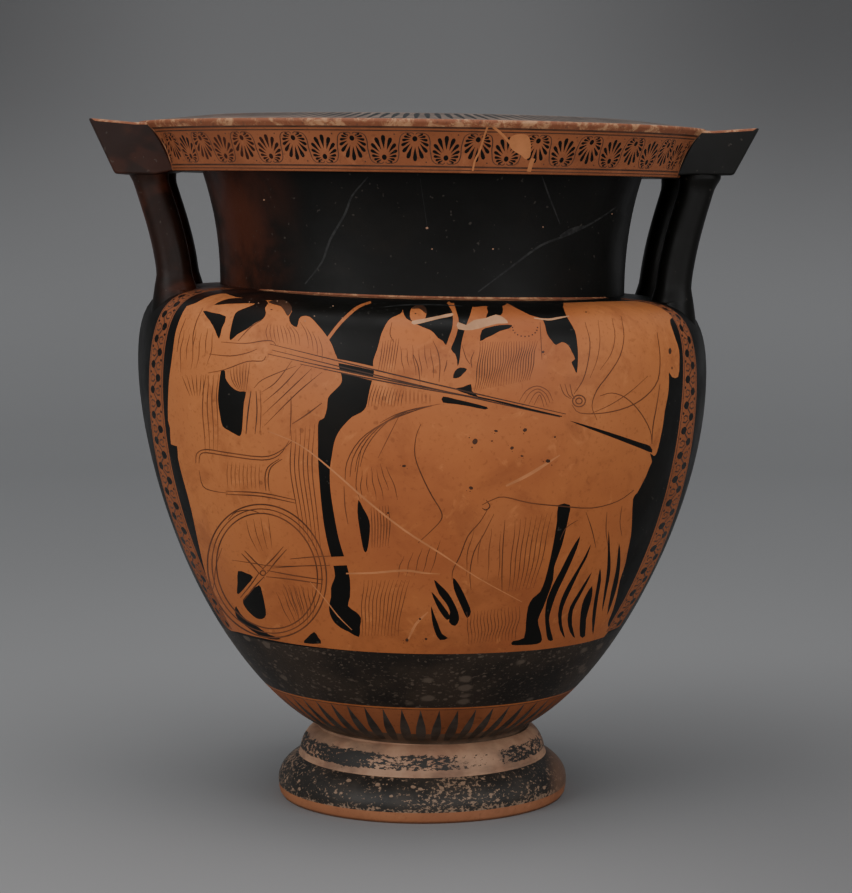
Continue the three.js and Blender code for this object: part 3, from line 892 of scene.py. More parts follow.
WHEEL_CENTRE = (267, 571)
WHEEL_REACH = (58, 68)
WHEEL_LEAN = math.radians(-22)
WHEEL_RINGS = [(0.0, 1.1), (4.5, 0.8), (9.0, 1.0)]      # inset and width
HUB = (263, 573)
SPOKE_ENDS = [(243, 552), (285, 548), (323, 582), (242, 599)]
SPOKE_HALF = 2.1

TAIL_STRAND = [(345, 482), (347, 462), (360, 440), (384, 423), (420, 409)]
TAIL_STEP = [(5, -5), (6, -4), (6, -3), (5, -3), (4, -1)]
YOKE_ARCH = [(519, 402), (526, 391), (537, 386), (548, 391), (553, 401)]
YOKE_STEP = [(5, 1), (4, 2), (1, 3), (-2, 3), (-3, 2)]
TUFT = [(560, 384), (564, 394), (571, 399)]
TUFT_STEP = [(5, 0), (4, 0), (2, 0)]
HARNESS_RING = (579, 401)
HORSE_EYE = (670, 351)
NOSTRIL = (672, 368)


def draw_lines(lines):
    for width, code, pixels in lines:
        line(pixels, width, code)


def draw_folds(folds):
    for count, width, wave, short, left, right in folds:
        pleats(left, right, count, width, DILUTE, wave, short)


def draw_again(pixels, step, count, width):
    """A line and copies of it, each moved one step from the last."""
    for k in range(count):
        line(np.array(pixels, float) + k * np.array(step), width, DILUTE)


def draw_reins():
    for hand, ring in REIN_ENDS:
        share = np.linspace(0, 1, 9)[:, None]
        route = np.array(hand) + (np.array(ring) - np.array(hand)) * share
        route[:, 1] += REIN_BEND * np.sin(3.1 * share[:, 0])
        line(route, 1.15, SPOT, (0.4, 0.5), 2)
    line(REIN_SHADE, 2.0, BLACK, (0.2, 0.5))


def draw_figures():
    for lines, folds in ((DRIVER_LINES, DRIVER_FOLDS), (FIRST_WOMAN_LINES, FIRST_WOMAN_FOLDS),
                         (SECOND_WOMAN_LINES, SECOND_WOMAN_FOLDS), (THIRD_WOMAN_LINES, THIRD_WOMAN_FOLDS)):
        draw_lines(lines)
        draw_folds(folds)
    draw(HAIR_OF_FIRST, SPOT, 2)
    line(HAIR_BAND, 0.9, CLAY)
    dot(*EYE_OF_FIRST, 1.2, 0.6, SPOT)
    dot(*EYE_OF_SECOND, 1.1, 0.6, SPOT)
    draw(HAIR_OF_SECOND, SPOT, 2)
    for turn in np.linspace(0, math.pi, BEADS):
        dot(NECKLACE_CENTRE[0] - NECKLACE_REACH[0] * math.cos(turn),
            NECKLACE_CENTRE[1] + NECKLACE_REACH[1] * math.sin(turn), 0.85, 0.85, SPOT, True, 6)


def draw_wheel():
    turn = np.linspace(0, 2 * math.pi, 45)
    for inset, width in WHEEL_RINGS:
        x = (WHEEL_REACH[0] - inset) * np.cos(turn)
        y = (WHEEL_REACH[1] - inset) * np.sin(turn)
        across = WHEEL_CENTRE[0] + x * math.cos(WHEEL_LEAN) - y * math.sin(WHEEL_LEAN)
        down = WHEEL_CENTRE[1] + x * math.sin(WHEEL_LEAN) + y * math.cos(WHEEL_LEAN)
        line(np.c_[across, down], width, DILUTE, (1, 1), 2)
    hub = np.array(HUB, float)
    for end in SPOKE_ENDS:
        along = np.array(end) - hub
        edge = np.array([-along[1], along[0]]) / np.hypot(*along) * SPOKE_HALF
        for side in (-1, 1):
            near = hub + along * 0.06 + edge * side * 1.5
            far = hub + along + edge * side
            line([near, far - along * 0.5, far], 0.95, DILUTE)
    dot(*HUB, 3.6, 3.2, DILUTE)
    dot(*HUB, 2.2, 1.9, CLAY)


def draw_chariot():
    for pixels, outward in ((RAIL, RAIL_OUTWARD), (SILL, SILL_OUTWARD), (POST, POST_OUTWARD)):
        draw_again(pixels, np.array(outward) * FRAME_THICKNESS, 2, 0.9)
    draw_wheel()
    draw_lines(CHARIOT_LINES)
    draw_folds(CHARIOT_FOLDS)


def draw_team():
    draw_lines(TEAM_LINES)
    draw_folds(TEAM_FOLDS)
    draw_again(TAIL_STRAND, TAIL_STEP, 4, 0.8)
    draw_again(YOKE_ARCH, YOKE_STEP, 4, 0.7)
    draw_again(TUFT, TUFT_STEP, 3, 0.7)
    turn = np.linspace(0, 2 * math.pi, 13)
    for size in (3.2, 6.4):
        ring = np.c_[HARNESS_RING[0] + size * np.cos(turn), HARNESS_RING[1] + size * 0.9 * np.sin(turn)]
        line(ring, 0.9, DILUTE, (1, 1), 2)
    dot(*HORSE_EYE, 1.6, 3.4, SPOT)
    dot(*NOSTRIL, 0.8, 1.6, DILUTE)


def front_lines():
    """Relief lines and thinned lines: reins, drapery, chariot and horses."""
    draw_reins()
    draw_figures()
    draw_chariot()
    draw_team()


# Breaks and cracks: (width, width of the ends as shares, pixels)

PICTURE_BREAKS = [
    (1.9, (0.3, 0.3), [
        (268, 431), (300, 445), (332, 470), (366, 500), (404, 530), (440, 553), (478, 578), (522, 602)]),
    (2.2, (0.7, 0.3), [(346, 573.5), (372, 573), (404, 570.5), (424, 573), (440, 574)]),
    (3.2, (0.3, 0.6), [(560, 455), (530, 474), (506, 486)]),
    (2.6, (0.4, 0.6), [(428, 612), (416, 624), (408, 640)]),
    (1.2, (0.5, 0.5), [(310, 582), (324, 598), (338, 616), (352, 630)])]
PLASTER_FILLS = [
    [(412, 321), (425, 318.5), (440, 315.5), (452, 313), (452, 316), (440, 318.5), (426, 322), (414, 324.5)],
    [(458, 322), (466, 325), (474, 320), (486, 318), (496, 314.5), (504, 318), (508, 323), (498, 323.5),
     (486, 326.5), (472, 330), (458, 329)]]
PLASTER_SEAM = [(534, 318), (548, 319.5), (558, 318), (569, 316)]
NECK_CRACKS = [
    (1.2, (0.5, 0.5), [(384, 307), (404, 305), (430, 304.5), (462, 306)]),
    (2.3, (0.5, 0.5), [(368, 177), (352, 196), (345, 214), (330, 240), (322, 262), (305, 284)]),
    (1.6, (0.5, 0.5), [(542, 176), (549, 196), (560, 224)]),
    (2.2, (0.5, 0.5), [(619, 205), (594, 222), (565, 236), (540, 246), (510, 268), (478, 292)]),
    (5.5, (0.2, 0.2), [(560, 236), (572, 231), (584, 226)]),
    (0.5, (0.5, 0.5), [(420, 178), (424, 205), (427, 226)])]

# Spots on the picture: (pixel across, pixel down, half width, half height)
PICTURE_SPOTS = [
    (475, 441.5, 3.4, 3.4), (471, 488, 2.6, 2.0), (404, 466, 2.2, 1.6), (496, 431, 2.4, 1.4),
    (525, 430, 2.6, 2.2), (548, 461, 2.6, 2.4), (512, 448, 2.2, 2.0), (522, 456, 1.8, 1.2),
    (492, 441, 1.2, 0.9), (555, 437, 1.2, 1.2), (388, 513, 1.6, 1.2), (543, 352, 1.8, 1.6),
    (586, 312, 1.4, 0.8), (420, 619, 1.6, 1.2), (407, 640, 2.2, 1.8), (426, 639, 1.8, 1.2)]
# Pits in the neck: (pixel across, pixel down, size)
NECK_PITS = [
    (427, 228, 2.0), (432, 249, 1.2), (493, 249, 1.5), (543, 227, 1.2), (264, 200, 1.4), (612, 214, 1.0)]

RESERVED_LINE = (-52, 59)       # degrees round the front
RESERVED_HEIGHTS = (-8.5, 1.0)


def shoulder_pits():
    """Rows of small pits over the heads of the figures."""
    for k in range(18):
        dot(350 + 3.1 * k, 303 + (k * 7) % 11, 0.9, 0.5, NECK_CRACK, True, 5)
    for k in range(12):
        down = 322 - (k * 5) % 17 if k > 6 else 301 + (k * 5) % 4
        dot(240 + 9.3 * k, down, 0.8, 0.6, WORN if k % 3 else NECK_CRACK, True, 5)


def reserved_line():
    """The clay line left along the foot of the neck, thinner towards its ends."""
    junction = SECTION.end["body"]
    x = np.linspace(*RESERVED_LINE, 60) * math.pi / 180 * SHEET_RADIUS
    thin = np.interp(np.arange(60), [0, 14, 44, 59], [0.35, 1, 1, 0.3])
    low, high = (junction + height * thin for height in RESERVED_HEIGHTS)
    paint(np.vstack([np.c_[x, low], np.c_[x, high][::-1]]), EDGE, 9)


def front_wear():
    """Old breaks, filled losses and spots on the picture and the neck."""
    for width, ends, pixels in PICTURE_BREAKS:
        line(pixels, width, PALE, ends)
    for outline in PLASTER_FILLS:
        draw(outline, PLASTER, 2)
    line(PLASTER_SEAM, 2.0, PLASTER)
    for x, y, half_width, half_height in PICTURE_SPOTS:
        blot(x, y, half_width, half_height, SPOT)
    for width, ends, pixels in NECK_CRACKS:
        line(pixels, width, NECK_CRACK, ends)
    shoulder_pits()
    for x, y, size in NECK_PITS:
        dot(x, y, size * 0.7, size * 0.6, WORN, True, 7)
    reserved_line()


# The rim's loss and breaks: mm along its girth, mm above its base

RIM_GIRTH_RADIUS = 190.0
RIM_FILL = [
    (49, 23.5), (54, 25), (59, 24.4), (62, 21), (63.5, 16), (64, 11), (61, 9.5), (58, 11.5), (54, 13.5),
    (50, 16), (48, 20)]
RIM_BREAKS = [
    (1.3, [(26, 1.5), (27, 8), (29.5, 14), (31, 21), (32.5, 29)]),
    (1.7, [(36, 29), (42, 25), (49, 19)]),
    (3.2, [(65, 1.5), (65.5, 6), (66.5, 10)])]


def on_rim(places):
    return [(x * SHEET_RADIUS / RIM_GIRTH_RADIUS, rim_at(y)) for x, y in places]


def rim_wear():
    """A filled loss and pale breaks across the palmettes."""
    paint(smooth(on_rim(RIM_FILL), True, 3), PALE)
    for width, route in RIM_BREAKS:
        paint(brush(smooth(on_rim(route), False, 4), width), PALE)


# The plain picture on the back: three youths in cloaks, in mm from the ground line

CLOAK = [
    (-20, 8), (-24, 40), (-26, 78), (-24, 108), (-18, 132), (-8, 142), (4, 143), (14, 138), (24, 122),
    (30, 100), (27, 84), (20, 70), (24, 44), (22, 10), (8, 5), (-8, 5)]
YOUTH_HEAD = [
    (-8, 142), (-11, 150), (-11, 160), (-6, 168), (3, 170), (9, 166), (11, 160), (12, 155), (10, 151),
    (9, 147), (3, 145), (2, 141)]
YOUTH_HAIR = [
    (-9, 152), (-12, 158), (-9, 168), (0, 173), (8, 170), (9, 165), (3, 165), (0, 158), (-3, 152)]
FEET = [
    [(-18, 0), (-18, 9), (-10, 9), (-8, 4), (4, 3), (4, 0)],
    [(6, 0), (6, 8), (14, 8), (17, 4), (26, 3), (26, 0)]]
FOLDS = [
    [(-16, 134), (-12, 100), (-16, 60), (-18, 14)],
    [(-6, 140), (-2, 104), (-8, 60), (-10, 12)],
    [(8, 138), (12, 112), (24, 92)],
    [(24, 98), (8, 84), (-10, 86)],
    [(22, 84), (8, 70), (-12, 68)],
    [(4, 66), (2, 40), (0, 12)],
    [(14, 66), (12, 40), (12, 12)],
    [(-20, 108), (-8, 96), (2, 94)]]


def decorate_back(low, high):
    """Ground line and three generic figures, drawn at their real size on the curved wall."""
    ground = low + 9
    width = math.radians(61) * SHEET_RADIUS
    paint_ring(low, ground - 2, CLAY, HALF - width, HALF + width)
    radius = SECTION.place(np.array([ground + 70.0]))[0][0]
    for turn, way in ((-37, 1), (0, -1), (37, -1)):
        middle = HALF + math.radians(turn) * SHEET_RADIUS

        def put(points, code, closed=True, width=0.9):
            points = np.asarray(points, float)
            shape = smooth(points, closed, 4)
            if not closed:
                shape = brush(shape, width, (0.4, 0.4))
            local = SECTION.place(ground + shape[:, 1])[0]
            x = middle + way * shape[:, 0] * SHEET_RADIUS / np.clip(local, 0.75 * radius, 1.3 * radius)
            paint(np.c_[x, ground + shape[:, 1] * 1.12 - 2], code)

        for foot in FEET:
            put(foot, CLAY)
        put(YOUTH_HEAD, CLAY)
        put(YOUTH_HAIR, BLACK)
        put(CLOAK, CLAY)
        for fold in FOLDS:
            put(fold, DILUTE, False)
        put([(-8, 150), (-9, 160), (2, 167)], CLAY, False, 1.0)
        put([(6, 158), (8, 157.6)], SPOT, False, 0.9)
        put([(30, 6), (34, 60), (37, 130), (38, 168)], CLAY, False, 1.8)


BACK_BORDER_TURN = 110          # degrees from the front
BACK_BORDER_WIDTH = 34.0


def decorate():
    decorate_rim()
    rim_wear()
    plate_joints()
    decorate_foot()
    front_masses()
    front_additions()
    front_lines()
    front_wear()
    low, high = on_body([PICTURE_FOOT])[0, 1], SECTION.end["body"] - 8
    decorate_back(low, high)
    for left, right in ((LEFT_BORDER_OUT, LEFT_BORDER_IN), (RIGHT_BORDER_IN, RIGHT_BORDER_OUT)):
        ivy_border(edge_of(left), edge_of(right), low + 2, high)
    for turn in (-BACK_BORDER_TURN, BACK_BORDER_TURN):
        middle = math.radians(turn) * SHEET_RADIUS
        half = BACK_BORDER_WIDTH / 2
        ivy_border(np.array([(middle - half, low)]), np.array([(middle + half, low)]), low, high)


def zones():
    """Path lengths where the paint under all outlines changes, each with the paint that begins there."""
    return [
        (0.0, UNDER), (SECTION.end["hollow"], FOOT_CLAY), (SECTION.at_height("foot", 8.0), FOOT_BLACK),
        (SECTION.start["step"], WORN), (SECTION.start["body"] + 3.0, LOW_BLACK),
        (on_body([PICTURE_FOOT])[0, 1], BLACK),
        (SECTION.start["rim"] + 1.2, RIM_CLAY), (rim_at(28.6), EDGE), (SECTION.start["top"], TOP),
        (SECTION.start["lip"] + 2, INSIDE)]


def base_code(s):
    starts, paints = zip(*zones())
    return np.array(paints)[np.searchsorted(starts, s, side="right") - 1]


# Vessel mesh

COLUMNS = 240


def grid_points():
    """Rows of points over the whole path: (path length, number of columns)."""
    rows = []

    def span(name, count, columns):
        a, b = SECTION.start[name], SECTION.end[name]
        for k in range(count + 1):
            rows.append((a + (b - a) * k / count, columns))

    span("hollow", 10, COLUMNS // 2)
    span("ring", 2, COLUMNS // 2)
    span("foot", 12, COLUMNS)
    span("step", 1, COLUMNS)
    span("collar", 7, COLUMNS)
    span("stem", 2, COLUMNS)
    span("body", 68, COLUMNS)
    span("neck", 16, COLUMNS)
    span("under_rim", 4, COLUMNS)
    span("top", 8, COLUMNS)
    a, b = SECTION.start["rim"], SECTION.end["rim"]
    for s in [a, a + 0.7, a + 1.4, b - 3.0, b - 2.0, b - 1.0, b - 0.4, b]:
        rows.append((s, COLUMNS))
    for s in np.linspace(a + 6, b - 7, 6):
        rows.append((s, COLUMNS))
    a, b = SECTION.start["lip"], SECTION.end["lip"]
    for s in [a, a + 0.8, a + 1.7, a + 2.8]:
        rows.append((s, COLUMNS))
    for s in np.linspace(a + 10, b, 52):
        rows.append((s, COLUMNS // 2))
    merged = {}
    for s, c in rows:
        merged[round(s, 4)] = max(c, merged.get(round(s, 4), 0))
    return sorted(merged.items())


def cut_sheet():
    """The unrolled pot cut into triangles along every painted outline: its points and its triangles."""
    ring_at = sorted({round(v, 4) for v in list(SECTION.start.values())[1:] + [s for s, _ in zones()[1:]]})
    points, edges = [], []
    index = {}

    def add(x, y):
        key = (round(x, 3), round(y, 3))
        if key not in index:
            index[key] = len(points)
            points.append(key)
        return index[key]

    for s, columns in grid_points():
        if s in ring_at:
            continue
        for k in range(columns + 1):
            add(-HALF + 2 * HALF * k / columns, s)
    for s in ring_at:
        ids = [add(-HALF + 2 * HALF * k / COLUMNS, s) for k in range(COLUMNS + 1)]
        edges += list(zip(ids, ids[1:]))
    for outline, _ in areas:
        ids = [add(float(x), float(y)) for x, y in outline]
        ids = [a for a, b in zip(ids, ids[1:] + ids[:1]) if a != b]
        edges += [(a, b) for a, b in zip(ids, ids[1:] + ids[:1]) if a != b]
    for x in (-HALF, HALF):
        seam = sorted(set(y for (px, y) in points if abs(px - round(x, 3)) < 1e-6))
        ids = [add(x, y) for y in seam]
        edges += list(zip(ids, ids[1:]))
    edges = list({(min(a, b), max(a, b)) for a, b in edges})
    found, _, faces, _, _, _ = delaunay_2d_cdt([Vector(p) for p in points], edges, [], 0, 1e-4, False)
    places = np.array([tuple(p) for p in found])
    places[:, 0] = np.clip(places[:, 0], -HALF, HALF)
    triangles = np.array([tuple(t) for t in faces])
    a, b, c = (places[triangles[:, corner]] for corner in range(3))
    area = (b[:, 0] - a[:, 0]) * (c[:, 1] - a[:, 1]) - (b[:, 1] - a[:, 1]) * (c[:, 0] - a[:, 0])
    triangles[area < 0] = triangles[area < 0][:, ::-1]
    return places, triangles[np.abs(area) > 1e-9]


def paint_of(middles):
    """Paint at each place of the sheet: the last outline laid over it, or else the paint under them all."""
    codes = base_code(middles[:, 1])
    for outline, code in areas:
        low, high = outline.min(0), outline.max(0)
        near = np.nonzero(((middles > low) & (middles < high)).all(axis=1))[0]
        if not len(near):
            continue
        x, y = middles[near].T
        winding = np.zeros(len(near), int)
        for start, end in zip(outline, np.roll(outline, -1, axis=0)):
            up = (start[1] <= y) & (end[1] > y)
            down = (start[1] > y) & (end[1] <= y)
            if not (up.any() or down.any()):
                continue
            cross = (end[0] - start[0]) * (y - start[1]) - (x - start[0]) * (end[1] - start[1])
            winding += (up & (cross > 0)).astype(int) - (down & (cross < 0)).astype(int)
        codes[near[winding != 0]] = code
    return codes


def close_sheet(places):
    """Make the seam and the two poles single points: which points stay, and the new number of each."""
    kept, numbers, found = [], np.zeros(len(places), int), {}
    for i, (x, s) in enumerate(places):
        if s < 1e-3:
            key = "pole under the foot"
        elif s > SECTION.length - 1e-3:
            key = "pole in the bowl"
        else:
            key = (round(-HALF if x > HALF - 1e-3 else x, 3), round(s, 3))
        if key not in found:
            found[key] = len(kept)
            kept.append(i)
        numbers[i] = found[key]
    return kept, numbers


def corner_normals(theta, s, triangles, side):
    """A normal for every corner of every triangle, from the part of the profile the triangle lies on."""
    corner = triangles.reshape(-1)
    side = np.repeat(side, 3)
    turn = theta[corner]
    section = SECTION.normal(s[corner], side)
    section[s[corner] < 1e-3] = [0, -1]
    section[s[corner] > SECTION.length - 1e-3] = [0, 1]
    radius, height = SECTION.place(s)
    x = radius * np.sin(theta)
    slope, change = sag(height, x)
    up = section[:, 1] / (1 - x[corner] * change[corner])
    normals = np.c_[section[:, 0] * np.sin(turn) + slope[corner] * up, -section[:, 0] * np.cos(turn), up]
    return normals / np.linalg.norm(normals, axis=1)[:, None]


def build_vessel():
    decorate()
    places, triangles = cut_sheet()
    middles = places[triangles].mean(axis=1)
    codes = paint_of(middles)
    kept, numbers = close_sheet(places)
    triangles = numbers[triangles]
    a, b, c = triangles.T
    whole = (a != b) & (b != c) & (c != a)
    triangles, codes, side = triangles[whole], codes[whole], middles[whole, 1]
    theta, s = places[kept, 0] / SHEET_RADIUS, places[kept, 1]
    return to_space(theta, s), triangles, codes, corner_normals(theta, s, triangles, side)


# Handles

PLATE_REACH = 228.5
PLATE_BASE_REACH = 211.0
PLATE_BASE = {-1: 438.5, 1: 443.5}
PLATE_TOP = 476.0
PLATE_WIDTH = 124.0
COLUMN_SPACING = 92.0
COLUMN_BREADTH = 24.4
COLUMN_DEPTH = 26.0
COLUMN_FOOT = 171.4
COLUMN_HEAD = 190.0
COLUMN_SIDES = 40
COLUMN_SQUARENESS = 0.9
FOOT_SPREAD = 6.0
HEAD_SPREAD = 2.0


def soft_normals(xyz, faces, sharp=math.radians(32)):
    """Corner normals of a small mesh, smooth where faces meet at less than the sharp angle."""
    fn = []
    for f in faces:
        p = xyz[list(f)] - xyz[f[0]]
        fn.append(np.cross(p[1:-1], p[2:]).sum(axis=0))
    fn = np.array(fn)
    unit = fn / np.maximum(np.linalg.norm(fn, axis=1), 1e-12)[:, None]
    around = {}
    for i, f in enumerate(faces):
        for v in f:
            around.setdefault(v, []).append(i)
    out = []
    for i, f in enumerate(faces):
        for v in f:
            mates = [j for j in around[v] if unit[j] @ unit[i] > math.cos(sharp)]
            n = fn[mates].sum(axis=0)
            out.append(n / max(np.linalg.norm(n), 1e-12))
    return np.array(out)


def sagged(xyz):
    """The same points after the pot's dip towards +X."""
    out = xyz.copy()
    out[:, 2] -= xyz[:, 0] * sag(xyz[:, 2], xyz[:, 0])[0]
    return out


def inset_outline(corners, by):
    """Corners of a closed outline after each side has moved inwards."""
    out = []
    n = len(corners)
    for i in range(n):
        a, b, c = corners[i - 1], corners[i], corners[(i + 1) % n]
        u, w = (b - a) / np.linalg.norm(b - a), (c - b) / np.linalg.norm(c - b)
        nu, nw = np.array([-u[1], u[0]]), np.array([-w[1], w[0]])
        out.append(b + (nu + nw) * by / (1 + nu @ nw))
    return np.array(out)


def round_corners(corners, cuts, count=4):
    out = []
    n = len(corners)
    for i in range(n):
        a, b, c = corners[i - 1], corners[i], corners[(i + 1) % n]
        u, w = (a - b) / np.linalg.norm(a - b), (c - b) / np.linalg.norm(c - b)
        for k in range(count + 1):
            t = k / count
            out.append((1 - t) ** 2 * (b + u * cuts[i]) + 2 * (1 - t) * t * b + t * t * (b + w * cuts[i]))
    return np.array(out)


def build_plate(side):
    """The plate over a pair of columns, with soft edges; its upper front and back edges are rubbed."""
    root = RIM_BASE_RADIUS - 17
    base = PLATE_BASE[side]
    corners = np.array([
        (root, RIM_BASE + 1), (RIM_BASE_RADIUS + 1, base), (PLATE_BASE_REACH, base),
        (PLATE_REACH, PLATE_TOP), (RIM_RADIUS - 2, RIM_EDGE - 0.4), (root, RIM_EDGE)])
    cuts = [0.4, 0.6, 2.2, 2.0, 1.0, 0.4]
    half, bevel = PLATE_WIDTH / 2, 1.6
    rows = [(-half, bevel), (-half + bevel * 0.29, bevel * 0.29), (-half + bevel, 0.0)]
    rows += [(y, 0.0) for y in np.linspace(-half + bevel, half - bevel, 13)[1:-1]]
    rows += [(half - bevel, 0.0), (half - bevel * 0.29, bevel * 0.29), (half, bevel)]
    xyz, faces, codes = [], [], []
    for y, inset in rows:
        for x, z in round_corners(inset_outline(corners, inset), cuts):
            xyz.append((side * x, y, z))
    around = len(xyz) // len(rows)
    top = range(around // 6 * 4 - 1, around // 6 * 5)
    for j in range(len(rows) - 1):
        rubbed = j < 2 or j > len(rows) - 4
        for k in range(around):
            a, b = j * around + k, j * around + (k + 1) % around
            faces.append((a, b, b + around, a + around))
            codes.append(EDGE if rubbed and k in top else BLACK)
    last = (len(rows) - 1) * around
    faces += [tuple(range(around))[::-1], tuple(range(last, last + around))]
    codes += [BLACK, BLACK]
    if side < 0:
        faces = [f[::-1] for f in faces]
    return np.array(xyz, float), faces, codes


def shoulder_height(radius):
    s, r, z, _, _ = SECTION.parts[list(SECTION.start).index("body")]
    high = z >= WIDEST
    return float(np.interp(-radius, -r[high], z[high]))


def column_ring(side, middle, centre, grow, height):
    """One slightly squared ring of a column; its height may depend on the distance from the pot's axis."""
    ring = []
    for turn in np.arange(COLUMN_SIDES) * 2 * math.pi / COLUMN_SIDES:
        across, along = math.cos(turn), math.sin(turn)
        across = math.copysign(abs(across) ** COLUMN_SQUARENESS, across)
        along = math.copysign(abs(along) ** COLUMN_SQUARENESS, along)
        x = side * centre + (COLUMN_BREADTH / 2 + grow) * across
        y = middle + (COLUMN_DEPTH / 2 + grow) * along
        ring.append((x, y, height(math.hypot(x, y))))
    return ring


def build_column(side, row):
    """A column from just inside the shoulder to just inside the plate; row is -1 in front, 1 behind."""
    start = shoulder_height(math.hypot(COLUMN_FOOT, COLUMN_SPACING / 2)) + 1.5
    lift = RIM_BASE - start
    centre = bezier(
        (COLUMN_FOOT, start), (COLUMN_FOOT + 1.6, start + lift * 0.38),
        (COLUMN_HEAD - 8, start + lift * 0.68), (COLUMN_HEAD, RIM_BASE), 200)
    middle = row * COLUMN_SPACING / 2
    shares = [0.0, 0.015, 0.035, 0.06, 0.1, 0.15] + [0.22 + 0.08 * k for k in range(8)]
    shares += [0.85, 0.9, 0.94, 0.97, 0.99, 1.0]

    def on_shoulder(lift_off):
        return lambda reach: shoulder_height(min(reach, BODY_RADIUS)) + lift_off

    xyz = column_ring(side, middle, COLUMN_FOOT, FOOT_SPREAD, on_shoulder(-2.5))
    xyz += column_ring(side, middle, COLUMN_FOOT, FOOT_SPREAD * 0.78, on_shoulder(0.1))
    for share in shares:
        across, up = centre[int(round(share * 200))]
        foot = FOOT_SPREAD * 0.45 * float(1 - smoothstep(share, -0.03, 0.13))
        head = HEAD_SPREAD * float(smoothstep(share, 0.86, 1.0)) ** 2
        xyz += column_ring(side, middle, across, foot + head, lambda reach, up=up: up)
    xyz += column_ring(side, middle, COLUMN_HEAD, HEAD_SPREAD, lambda reach: RIM_BASE + 8)
    rings_count = len(xyz) // COLUMN_SIDES
    faces = []
    for j in range(rings_count - 1):
        for k in range(COLUMN_SIDES):
            a, b = j * COLUMN_SIDES + k, j * COLUMN_SIDES + (k + 1) % COLUMN_SIDES
            faces.append((a, b, b + COLUMN_SIDES, a + COLUMN_SIDES))
    faces.append(tuple(range(COLUMN_SIDES))[::-1])
    faces.append(tuple(range((rings_count - 1) * COLUMN_SIDES, rings_count * COLUMN_SIDES)))
    return np.array(xyz), faces, [BLACK] * len(faces)


# Materials

def new_material(name):
    material = bpy.data.materials.new(name)
    material.use_nodes = True
    tree = material.node_tree
    tree.nodes.clear()
    out = tree.nodes.new("ShaderNodeOutputMaterial")
    shader = tree.nodes.new("ShaderNodeBsdfPrincipled")
    tree.links.new(shader.outputs["BSDF"], out.inputs["Surface"])
    return material, tree, shader


class Nodes:
    """Short names for the nodes that the materials share."""

    def __init__(self, tree):
        self.t = tree
        self.co = tree.nodes.new("ShaderNodeTexCoord").outputs["Object"]

    def noise(self, scale, detail=3.0, rough=0.5, vector=None, warp=0.0):
        n = self.t.nodes.new("ShaderNodeTexNoise")
        n.inputs["Scale"].default_value = scale
        n.inputs["Detail"].default_value = detail
        n.inputs["Roughness"].default_value = rough
        n.inputs["Distortion"].default_value = warp
        self.t.links.new(vector or self.co, n.inputs["Vector"])
        return n.outputs["Fac"]

    def flat(self, squash):
        """Object coordinates that make a pattern lie along the turning."""
        n = self.t.nodes.new("ShaderNodeMapping")
        n.inputs["Scale"].default_value = (1.0, 1.0, squash)
        self.t.links.new(self.co, n.inputs["Vector"])
        return n.outputs["Vector"]

    def spots(self, scale, radius, share, vector=None, soft=0.10):
        """Round spots of different sizes in a share of the cells of a random grid."""
        n = self.t.nodes.new("ShaderNodeTexVoronoi")
        n.inputs["Scale"].default_value = scale
        self.t.links.new(vector or self.co, n.inputs["Vector"])
        parts = self.t.nodes.new("ShaderNodeSeparateColor")
        self.t.links.new(n.outputs["Color"], parts.inputs[0])
        size = self.ramp(parts.outputs[0], 1 - share, 1.0, -soft, radius)
        wobble = self.math("MULTIPLY", self.noise(scale * 2.5, 2, 0.6, vector), 0.25)
        reach = self.math("ADD", n.outputs["Distance"], self.math("SUBTRACT", wobble, 0.125))
        return self.ramp(self.math("SUBTRACT", reach, size), -soft, soft * 0.3, 1.0, 0.0)

    def ramp(self, fac, low, high, a=0.0, b=1.0):
        n = self.t.nodes.new("ShaderNodeMapRange")
        n.interpolation_type = "SMOOTHSTEP"
        n.inputs["From Min"].default_value = low
        n.inputs["From Max"].default_value = high
        n.inputs["To Min"].default_value = a
        n.inputs["To Max"].default_value = b
        self.t.links.new(fac, n.inputs["Value"])
        return n.outputs["Result"]

    def math(self, op, a, b=None):
        n = self.t.nodes.new("ShaderNodeMath")
        n.operation = op
        for i, v in enumerate((a, b)):
            if v is None:
                continue
            if isinstance(v, (int, float)):
                n.inputs[i].default_value = v
            else:
                self.t.links.new(v, n.inputs[i])
        return n.outputs[0]

    def mix(self, fac, a, b):
        n = self.t.nodes.new("ShaderNodeMix")
        n.data_type = "RGBA"
        for key, v in ((0, fac), (6, a), (7, b)):
            if isinstance(v, (int, float)):
                n.inputs[key].default_value = v
            elif isinstance(v, tuple):
                n.inputs[key].default_value = (*v, 1.0)
            else:
                self.t.links.new(v, n.inputs[key])
        return n.outputs[2]

    def axis(self, name):
        n = self.t.nodes.new("ShaderNodeSeparateXYZ")
        self.t.links.new(self.co, n.inputs[0])
        return n.outputs[name]

    def bump(self, shader, height, strength, distance=0.001):
        n = self.t.nodes.new("ShaderNodeBump")
        n.inputs["Strength"].default_value = strength
        n.inputs["Distance"].default_value = distance
        self.t.links.new(height, n.inputs["Height"])
        self.t.links.new(n.outputs["Normal"], shader.inputs["Normal"])


